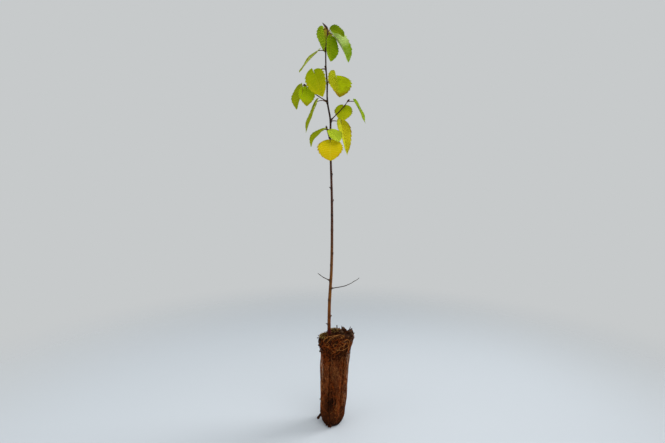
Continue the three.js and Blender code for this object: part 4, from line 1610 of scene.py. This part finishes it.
@dataclass(frozen=True)
class Roots:
    """Root threads on the wall, the rim and the crown of the plug, and the root ends at its foot."""

    plug: RootPlug
    lowest: float = 1.2  # Lowest place of a thread
    over: float = 0.5  # How far above the crown its highest place on the wall is
    sink: float = 0.35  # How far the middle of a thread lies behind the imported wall
    slot_sink: float = 3.0  # How much deeper it lies in a slot

    @property
    def highest(self) -> float:
        """Highest place of a thread on the wall."""
        return self.plug.height + self.over

    def places(self, family: ThreadFamily, rng: np.random.Generator) -> tuple[Array, Array]:
        """Seeded places of a family's threads: in its patches or, where it has none, all over the wall.

        Args:
            family: The family.
            rng: Source of the seeded numbers.

        Returns:
            Turn in radians and height of the middle of each thread, as columns.
        """
        if not family.patches:
            return rng.uniform(0, FULL_TURN, (family.count, 1)), rng.uniform(*family.span, (family.count, 1))
        rows = np.array(family.patches)
        turn, height, breadth, tall = rows[rng.integers(len(rows), size=family.count)].T[..., None]
        turn = turn + breadth * rng.normal(0, 1, turn.shape)
        return np.radians(turn), height + tall * rng.normal(0, 1, height.shape)

    def wall_threads(self, family: ThreadFamily) -> Surface:
        """Threads of one family.

        A thread is walked over the unrolled wall in even steps: its angle to straight down is its own heading
        plus two sine waves, and the sums of the steps down and aside give its height and turn. It stands out
        of the wall by its radius and by half a sine wave, and dips in the slots.

        Args:
            family: The family.

        Returns:
            The threads as one surface.
        """
        second, faster, half_out, taper = 0.5, 2.3, 0.45, 0.45
        rng, one = np.random.default_rng(family.seed), (family.count, 1)
        share = np.linspace(0, 1, family.steps)[None]
        length = rng.uniform(*family.length, one)
        thick = rng.uniform(*family.radius, one)
        heading = rng.choice([-1, 1], one) * family.heading + rng.normal(0, family.spread, one)
        waves = rng.uniform(*family.waves, one)
        starts = rng.uniform(0, FULL_TURN, (2, *one))
        swing = np.sin(FULL_TURN * waves * share + starts[0])
        swing = swing + second * np.sin(FULL_TURN * faster * waves * share + starts[1])
        angle = np.radians(heading + family.curl * swing)
        down, aside = (np.cumsum(part(angle), 1) * length / family.steps for part in (np.cos, np.sin))
        turn, height = self.places(family, rng)
        turn = turn + (aside - aside.mean(1, keepdims=True)) / self.plug.rim
        height = np.clip(height - down + down.mean(1, keepdims=True), self.lowest, self.highest)
        arch = family.proud * rng.uniform(0, 1, one) * np.sin(np.pi * share) ** 2
        out = half_out * thick - self.sink + arch - self.slot_sink * self.plug.in_slot(turn, height)
        outward = np.stack([np.cos(turn), np.sin(turn), np.zeros_like(turn)], -1)
        radii = thick * (1 - taper * share) * np.ones_like(angle)
        middle = family.steps // 2
        damp_and_shade = self.plug.damp_and_shade_level(turn[:, middle], height[:, middle])
        dry = rng.uniform(0, 1, family.count) > family.shy * damp_and_shade
        return strands(self.plug.on_wall(turn, height, out)[dry], radii[dry], THREAD_SIDES, outward[dry])

    def over_crown(self, threads: ThreadSet) -> Surface:
        """Threads that arch over the crown from one seeded place of it to another.

        Args:
            threads: The set.

        Returns:
            The threads as one surface.
        """
        steps, veer, wobble, taper, thickness = 16, 1.1, 0.15, 0.4, (0.13, 0.33)
        starts, ends, lifts = (6, 24), (12, 25), (0.5, 4.5)
        rng, one = np.random.default_rng(threads.seed), (threads.count, 1)
        share = np.linspace(0, 1, steps)[None]
        start, turn_by = rng.uniform(0, FULL_TURN, one), rng.normal(0, veer, one)
        near, far = rng.uniform(*starts, one), rng.uniform(*ends, one)
        turn = start + turn_by * share + wobble * np.sin(FULL_TURN * share + start)
        reach = near + (far - near) * share
        arch = rng.uniform(*lifts, one) * np.sin(np.pi * share)
        radii = rng.uniform(*thickness, one) * (1 - taper * share)
        return strands(self.plug.on_crown(turn, reach, arch), radii, THREAD_SIDES, np.array([0, 0, 1.0]))

    def over_rim(self, threads: ThreadSet) -> Surface:
        """Threads that come out of the crown, bend over its rim and hang down the collar.

        A thread runs out over the crown and then down the wall, swaying by a sine wave. The corner between is
        rounded by taking the mean of each point and its neighbours twice.

        Args:
            threads: The set.

        Returns:
            The threads as one surface.
        """
        lying_steps, hanging_steps, rounds, thickness, taper = 6, 12, 2, (0.13, 0.37), 0.5
        leans, starts, drops, lifts, raised = 0.4, (12, 22), (4, 28), (0.3, 2.4), 0.4
        swings, rates, standing, brow = (0.05, 0.2), (0.4, 1.6), (0, 1.3), self.plug.height - 1
        rng, one = np.random.default_rng(threads.seed), (threads.count, 1)
        lying, hanging = (np.linspace(0, 1, steps)[None] for steps in (lying_steps, hanging_steps))
        turn, lean = rng.uniform(0, FULL_TURN, one), rng.normal(0, leans, one)
        start, drop = rng.uniform(*starts, one), rng.uniform(*drops, one)
        arch = rng.uniform(*lifts, one) * np.sin(np.pi * lying) + raised
        crown = self.plug.on_crown(turn - lean * (1 - lying), start + (self.plug.rim - start) * lying, arch)
        swing, rate = rng.uniform(*swings, one), rng.uniform(*rates, one)
        sway = lean * hanging + swing * np.sin(FULL_TURN * rate * hanging)
        proud = rng.uniform(*standing, one) * np.sin(np.pi * hanging)
        wall = self.plug.on_wall(turn + sway, brow - drop * hanging, proud)
        paths = np.concatenate([crown, wall], 1)
        for _ in range(rounds):
            paths[:, 1:-1] = (paths[:, :-2] + 2 * paths[:, 1:-1] + paths[:, 2:]) / 4
        radii = rng.uniform(*thickness, one) * np.linspace(1, taper, paths.shape[1])[None]
        return strands(paths, radii, THREAD_SIDES)

    def swags(self, threads: ThreadSet) -> Surface:
        """Threads that hang in arcs along the collar, the height a parabola of the turn.

        Args:
            threads: The set.

        Returns:
            The threads as one surface.
        """
        steps, reaches, tops, sags = 17, (0.1, 0.34), (112, 130), (-5, 12)
        slant, standing, thickness = 4, (0, 1.8), (0.088, 0.22)
        rng, one = np.random.default_rng(threads.seed), (threads.count, 1)
        share = np.linspace(-1, 1, steps)[None]
        turn = rng.uniform(0, FULL_TURN, one) + rng.uniform(*reaches, one) * share
        swell = 1 - share**2
        height = rng.uniform(*tops, one) - rng.uniform(*sags, one) * swell + rng.normal(0, slant, one) * share
        height = np.clip(height, self.plug.height / 2, self.highest)
        paths = self.plug.on_wall(turn, height, rng.uniform(*standing, one) * swell)
        return strands(paths, rng.uniform(*thickness, one) * np.ones_like(turn), THREAD_SIDES)

    def arches(self) -> Surface:
        """Roots that bridge the hollow of the crown: curves through the points of `ARCHES`."""
        steps, per_span, sides, thick, thin = 40, 8, 6, 0.32, 0.16
        shares = np.linspace(0, 1, steps)
        paths = [along_path(centripetal_curve(np.array(row), per_span), shares) for row in ARCHES]
        middle = self.plug.on_crown(np.array(0.0), np.array(0.0), 0.0)
        radii = np.linspace(thick, thin, steps) * np.ones(len(ARCHES))[:, None]
        return strands(np.stack(paths) + middle, radii, sides)

    def stubs(self) -> Surface:
        """Broken root ends that stand out of the wall, the longest of them at the foot."""
        steps, sides, sunk, taper = 14, 10, -3.0, 0.1
        seed, cells, bends, spacing, roughness, wander = 43, 64, 9, 3.0, 0.2, 0.5
        turn, height, rise, length, radius = np.array(ROOT_ENDS).T
        share = np.linspace(0, 1, steps)[None, :, None]
        foot = self.plug.on_wall(np.radians(turn), height, sunk)
        paths = foot[:, None] + direction(turn, rise)[:, None] * length[:, None, None] * share
        lanes = np.arange(len(ROOT_ENDS))[:, None] * spacing
        rough = value_noise(share[..., 0] * bends, lanes, cells, seed)
        radii = radius[:, None] * (1 - taper * share[..., 0]) * (1 + roughness * rough)
        paths = paths + wander * rough[..., None] * direction(turn + 90, 0)[:, None]
        return strands(paths, radii, sides)

    def build(self) -> None:
        """Builds the threads family by family, those over the crown and the root ends."""
        for family in FAMILIES:
            add_piece(family.name, self.wall_threads(family), [family.finish])
        ways = ((self.over_crown, CROWN_THREADS), (self.over_rim, RIM_THREADS), (self.swags, SWAGS))
        for lay, sets in ways:
            for threads in sets:
                add_piece(threads.name, lay(threads), [threads.finish])
        add_piece("arching_roots", self.arches(), [ROOT_GOLD])
        add_piece("root_ends", self.stubs(), [ROOT_DARK])


@dataclass(frozen=True)
class Tuft:
    """A clump on the crown: its middle, its width, depth and height, and whether moss covers it."""

    turn: float
    reach: float
    width: float
    depth: float
    height: float
    mossy: bool


TUFTS = (
    Tuft(101, 14, 11, 9, 8, True), Tuft(50, 18, 9, 9, 9, False), Tuft(4, 20, 7, 10, 8, False),
    Tuft(186, 19, 8, 12, 6, True), Tuft(318, 20, 9, 7, 4, False),
)

# Turn, reach, rise, length and radius of each tall stalk
STRAWS = (
    (84, 13, 66, 13, 1.0), (16, 19, 54, 14, 0.9), (188, 22, 12, 9, 0.9), (66, 21, 74, 9, 0.7),
    (30, 22, 58, 9, 0.65), (2, 23, 40, 8, 0.6), (165, 23, 30, 8, 0.6), (205, 24, 20, 7, 0.55),
    (130, 22, 60, 9, 0.6), (330, 23, 35, 7, 0.5),
)

# Turn, reach, height above the crown and radius of each clod
CLODS = (
    (56, 18, 1.0, 3.6), (14, 21.5, 0.3, 3.2), (352, 23, 1, 2.8), (60, 22, 1, 2.6), (183, 23, -1, 2.4),
    (196, 24, -2, 2.2), (338, 19, 1, 2.6), (318, 21, 0, 2.4), (90, 22, -0.5, 2.8), (120, 22, -1.5, 3),
    (145, 23, -2, 2.6), (165, 20, -1, 2.8), (225, 21, -0.5, 2.2), (22, 24, -1, 2.4), (48, 12, 1, 2.6),
    (300, 23, -1.5, 2.2), (245, 22, -1.5, 2), (74, 16, 2, 2.6),
)


@dataclass(frozen=True)
class Litter:
    """Peat crumbs, grit, moss and old stalks on the crown of the plug.

    Crumbs, grit and short straws are counted over the whole crown, moss and other crumbs in each clump.
    """

    plug: RootPlug
    crumbs: int = 520
    tuft_crumbs: int = 110
    grit: int = 44
    moss: int = 260
    straws: int = 34

    def grains(self, middles: Array, sizes: Array, seed: int, shape: tuple[int, int] = (4, 6)) -> Surface:
        """Uneven grains: short strands along seeded directions whose radius swells in the middle.

        Args:
            middles: Middle of each grain.
            sizes: Radius of each grain.
            seed: Seed of their shapes.
            shape: Steps along a grain and sides of it.

        Returns:
            The grains as one surface.
        """
        blunt, uneven = 1.12, (0.6, 1.15)
        rng = np.random.default_rng(seed)
        count, (steps, sides) = len(middles), shape
        size = sizes[:, None, None]
        share = np.linspace(-1, 1, steps)[None, :, None]
        way = unit(rng.normal(0, 1, (count, 1, 3)))
        profile = np.sqrt(blunt - share**2)
        radii = size * profile * rng.uniform(*uneven, (count, steps, sides))
        return strands(middles[:, None] + way * share * size, radii, sides)

    def scattered(self, count: int, rng: np.random.Generator, up: Span) -> Array:
        """Seeded places on the crown, evenly over its area.

        Args:
            count: Number of places.
            rng: Source of the seeded numbers.
            up: Lowest and highest place above the crown.

        Returns:
            The places.
        """
        area = (0.01, 0.98)
        turn = rng.uniform(0, FULL_TURN, count)
        reach = self.plug.rim * np.sqrt(rng.uniform(*area, count))
        return self.plug.on_crown(turn, reach, rng.uniform(*up, count))

    def on_tuft(self, tuft: Tuft, count: int, rng: np.random.Generator) -> tuple[Array, Array]:
        """Seeded places on the upper half of a clump's ellipsoid.

        Args:
            tuft: The clump.
            count: Number of places.
            rng: Source of the seeded numbers.

        Returns:
            The places and the directions straight out of them.
        """
        flattened = (1, 1, 0.8)
        out = unit(rng.normal(0, 1, (count, 3)) * flattened)
        out[:, 2] = np.abs(out[:, 2])
        middle = self.plug.on_crown(np.radians(tuft.turn), np.array(tuft.reach), 0.0)
        return middle + out * np.array([tuft.width, tuft.depth, tuft.height]) / 2, out

    def leaflets(self) -> Surface:
        """Moss: small pointed leaflets that stand out of the mossy clumps."""
        seed, steps, spread, sag, lengths, thickness = 52, 4, 0.45, -0.25, (1.6, 3.8), (0.2, 0.36)
        ends, fullness, taper = (0.08, 0.97), 0.4, 0.8
        rng = np.random.default_rng(seed)
        share = np.linspace(0, 1, steps)[None, :, None]
        grown = [self.on_tuft(tuft, self.moss, rng) for tuft in TUFTS if tuft.mossy]
        places, ways = (np.concatenate(part) for part in zip(*grown))
        count = len(places)
        ways = unit(ways + rng.normal(0, spread, ways.shape))
        length = rng.uniform(*lengths, (count, 1, 1))
        droop = np.array([0, 0, sag]) * share**2 * length
        outline = egg_share(np.clip(share[..., 0], *ends), fullness, taper)
        radii = rng.uniform(*thickness, (count, 1)) * outline
        return strands(places[:, None] + ways[:, None] * length * share + droop, radii, THREAD_SIDES)

    def stalks(self) -> Surface:
        """Old stalks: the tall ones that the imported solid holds, and short seeded ones that lie about."""
        seed, steps, sides, ends, up, bow, taper = 53, 9, 6, (-0.3, 0.7), 0.3, 0.08, 0.3
        turns, reaches, rises, lengths, radii = (0, 360), (6, 24), (-4, 34), (4, 12), (0.25, 0.6)
        rng = np.random.default_rng(seed)
        spans = (turns, reaches, rises, lengths, radii, turns)
        short = [rng.uniform(*span, self.straws) for span in spans]
        tall = np.array(STRAWS).T
        rows = np.concatenate([[*tall, tall[0]], short], 1)
        turn, reach, rise, length, radius, heading = rows
        length = length[:, None, None]
        share = np.linspace(*ends, steps)[None, :, None]
        foot = self.plug.on_crown(np.radians(turn), reach, up)
        bend = bow * length * share**2 * direction(heading + 90, 0)[:, None]
        paths = foot[:, None] + direction(heading, rise)[:, None] * length * share + bend
        return strands(paths, radius[:, None] * (1 - taper * share[..., 0]), sides)

    def build(self) -> None:
        """Builds the crumbs, the grit, the moss and the stalks."""
        seed, crumb_seed, clod_seed, grit_seed, clod_shape = 51, 54, 57, 55, (7, 9)
        crumb_up, crumb_size, grit_up, grit_size = (-0.4, 1.2), (0.45, 1.6), (0.4, 1.6), (0.35, 1.0)
        rng = np.random.default_rng(seed)
        piles = [self.on_tuft(tuft, self.tuft_crumbs, rng)[0] for tuft in TUFTS]
        places = np.concatenate([self.scattered(self.crumbs, rng, crumb_up), *piles])
        crumbs = self.grains(places, rng.uniform(*crumb_size, len(places)), crumb_seed)
        add_piece("peat_crumbs", crumbs, [CRUMB])
        turn, reach, up, size = np.array(CLODS).T
        clods = self.grains(self.plug.on_crown(np.radians(turn), reach, up), size, clod_seed, clod_shape)
        add_piece("clods", clods, [CLOD])
        places = self.scattered(self.grit, rng, grit_up)
        grit = self.grains(places, rng.uniform(*grit_size, self.grit), grit_seed)
        add_piece("grit", grit, [GRIT])
        add_piece("moss", self.leaflets(), [MOSS])
        add_piece("old_stalks", self.stalks(), [STRAW])


# Studio


@dataclass(frozen=True)
class Lamp:
    """A soft square lamp: its name, place, side, power in watts and the angle that its light fans over."""

    name: str
    place: Triple
    size: float
    power: float
    spread: float = 180.0


@dataclass(frozen=True)
class Studio:
    """Camera, pale floor and soft light."""

    eye: Triple = (0.8, -478.6, 321.6)  # Place of the camera
    tilt: float = 3.0  # How far it looks down
    focal: float = 333 / 665  # Focal length in picture widths
    sensor: float = 36.0  # Width of the camera's sensor
    nearest: float = 10.0  # Distance from which the camera sees
    aim: Triple = (0, 0, 300)  # Point that the lamps face
    lamps: tuple[Lamp, ...] = (
        Lamp("key_lamp", (500, -900, 1300), 1500, 7),
        Lamp("fill_lamp", (-1100, -500, 800), 900, 2),
        Lamp("edge_lamp", (1000, 350, 600), 600, 1.9, 60),
    )
    floor: float = 3000.0  # Half width of the floor
    floor_span: Span = (350, 900)  # Distances from the plant between which the floor fades into the backdrop
    floor_colour: Colour = (207, 213, 219)  # Colour of the floor
    floor_roughness: float = 0.7
    floor_gloss: float = 0.2
    backdrop: Colour = (199, 202, 203)  # Colour of the backdrop
    glow: float = 1.0  # Strength of the light that it gives

    def build(self) -> None:
        """Builds the camera, the lamps, the backdrop and the floor."""
        scene = bpy.context.scene
        scene.view_settings.view_transform = "Standard"
        lens = bpy.data.cameras.new("camera")
        lens.sensor_width = self.sensor
        lens.lens = self.sensor * self.focal
        lens.clip_start = self.nearest * MM
        camera = bpy.data.objects.new("camera", lens)
        camera.location = np.array(self.eye) * MM
        camera.rotation_euler = (np.radians(90 - self.tilt), 0, 0)
        scene.collection.objects.link(camera)
        scene.camera = camera
        for lamp in self.lamps:
            self.build_lamp(lamp)
        self.build_backdrop()
        self.build_floor()

    def build_lamp(self, lamp: Lamp) -> None:
        """Hangs one lamp so that it faces the aim.

        Args:
            lamp: The lamp.
        """
        light = bpy.data.lights.new(lamp.name, "AREA")
        light.size = lamp.size * MM
        light.energy = lamp.power
        light.spread = np.radians(lamp.spread)
        hung = bpy.data.objects.new(lamp.name, light)
        hung.location = np.array(lamp.place) * MM
        away = np.array(self.aim) - np.array(lamp.place)
        level = np.hypot(away[0], away[1])
        hung.rotation_euler = (np.arctan2(level, -away[2]), 0, np.arctan2(-away[0], away[1]))
        bpy.context.scene.collection.objects.link(hung)

    def build_backdrop(self) -> None:
        """Makes the world an even pale backdrop."""
        world = bpy.data.worlds.new("backdrop")
        world.use_nodes = True
        background = world.node_tree.nodes["Background"]
        background.inputs["Color"].default_value = linear(self.backdrop)
        background.inputs["Strength"].default_value = self.glow
        bpy.context.scene.world = world

    def build_floor(self) -> None:
        """Lays the floor at the height of the plug's underside, and fades it out into the backdrop."""
        edge = self.floor
        corners = np.array([(-edge, -edge, 0), (edge, -edge, 0), (edge, edge, 0), (-edge, edge, 0)], float)
        mesh = Surface(corners, np.array([[0, 1, 2, 3]])).mesh("floor")
        material = bpy.data.materials.new("floor")
        material.use_nodes = True
        wiring = Wiring(material.node_tree)
        surface = material.node_tree.nodes["Principled BSDF"]
        looks = {
            "Base Color": linear(self.floor_colour),
            "Roughness": self.floor_roughness,
            "Specular IOR Level": self.floor_gloss,
        }
        wiring.feed(surface, looks)
        away = wiring.add("VectorMath", {0: wiring.place()}, operation="LENGTH").outputs["Value"]
        near, far = (distance * MM for distance in self.floor_span)
        share = wiring.share(away, near, far, "SMOOTHSTEP")
        clear = wiring.add("BsdfTransparent", {}).outputs[0]
        faded = wiring.add("MixShader", {0: share, 1: surface.outputs[0], 2: clear}).outputs[0]
        wiring.feed(material.node_tree.nodes["Material Output"], {"Surface": faded})
        mesh.materials.append(material)
        floor = bpy.data.objects.new("floor", mesh)
        bpy.context.scene.collection.objects.link(floor)


def main() -> None:
    """Builds the studio and the plant, from the crown down."""
    logging.basicConfig(level=logging.INFO, format="%(name)s: %(message)s")
    Studio().build()
    stem = Stem()
    crown = Crown(stem)
    stem.build(crown.knots())
    crown.build()
    plug = RootPlug()
    plug.build()
    Roots(plug).build()
    Litter(plug).build()


if __name__ == "__main__":
    main()
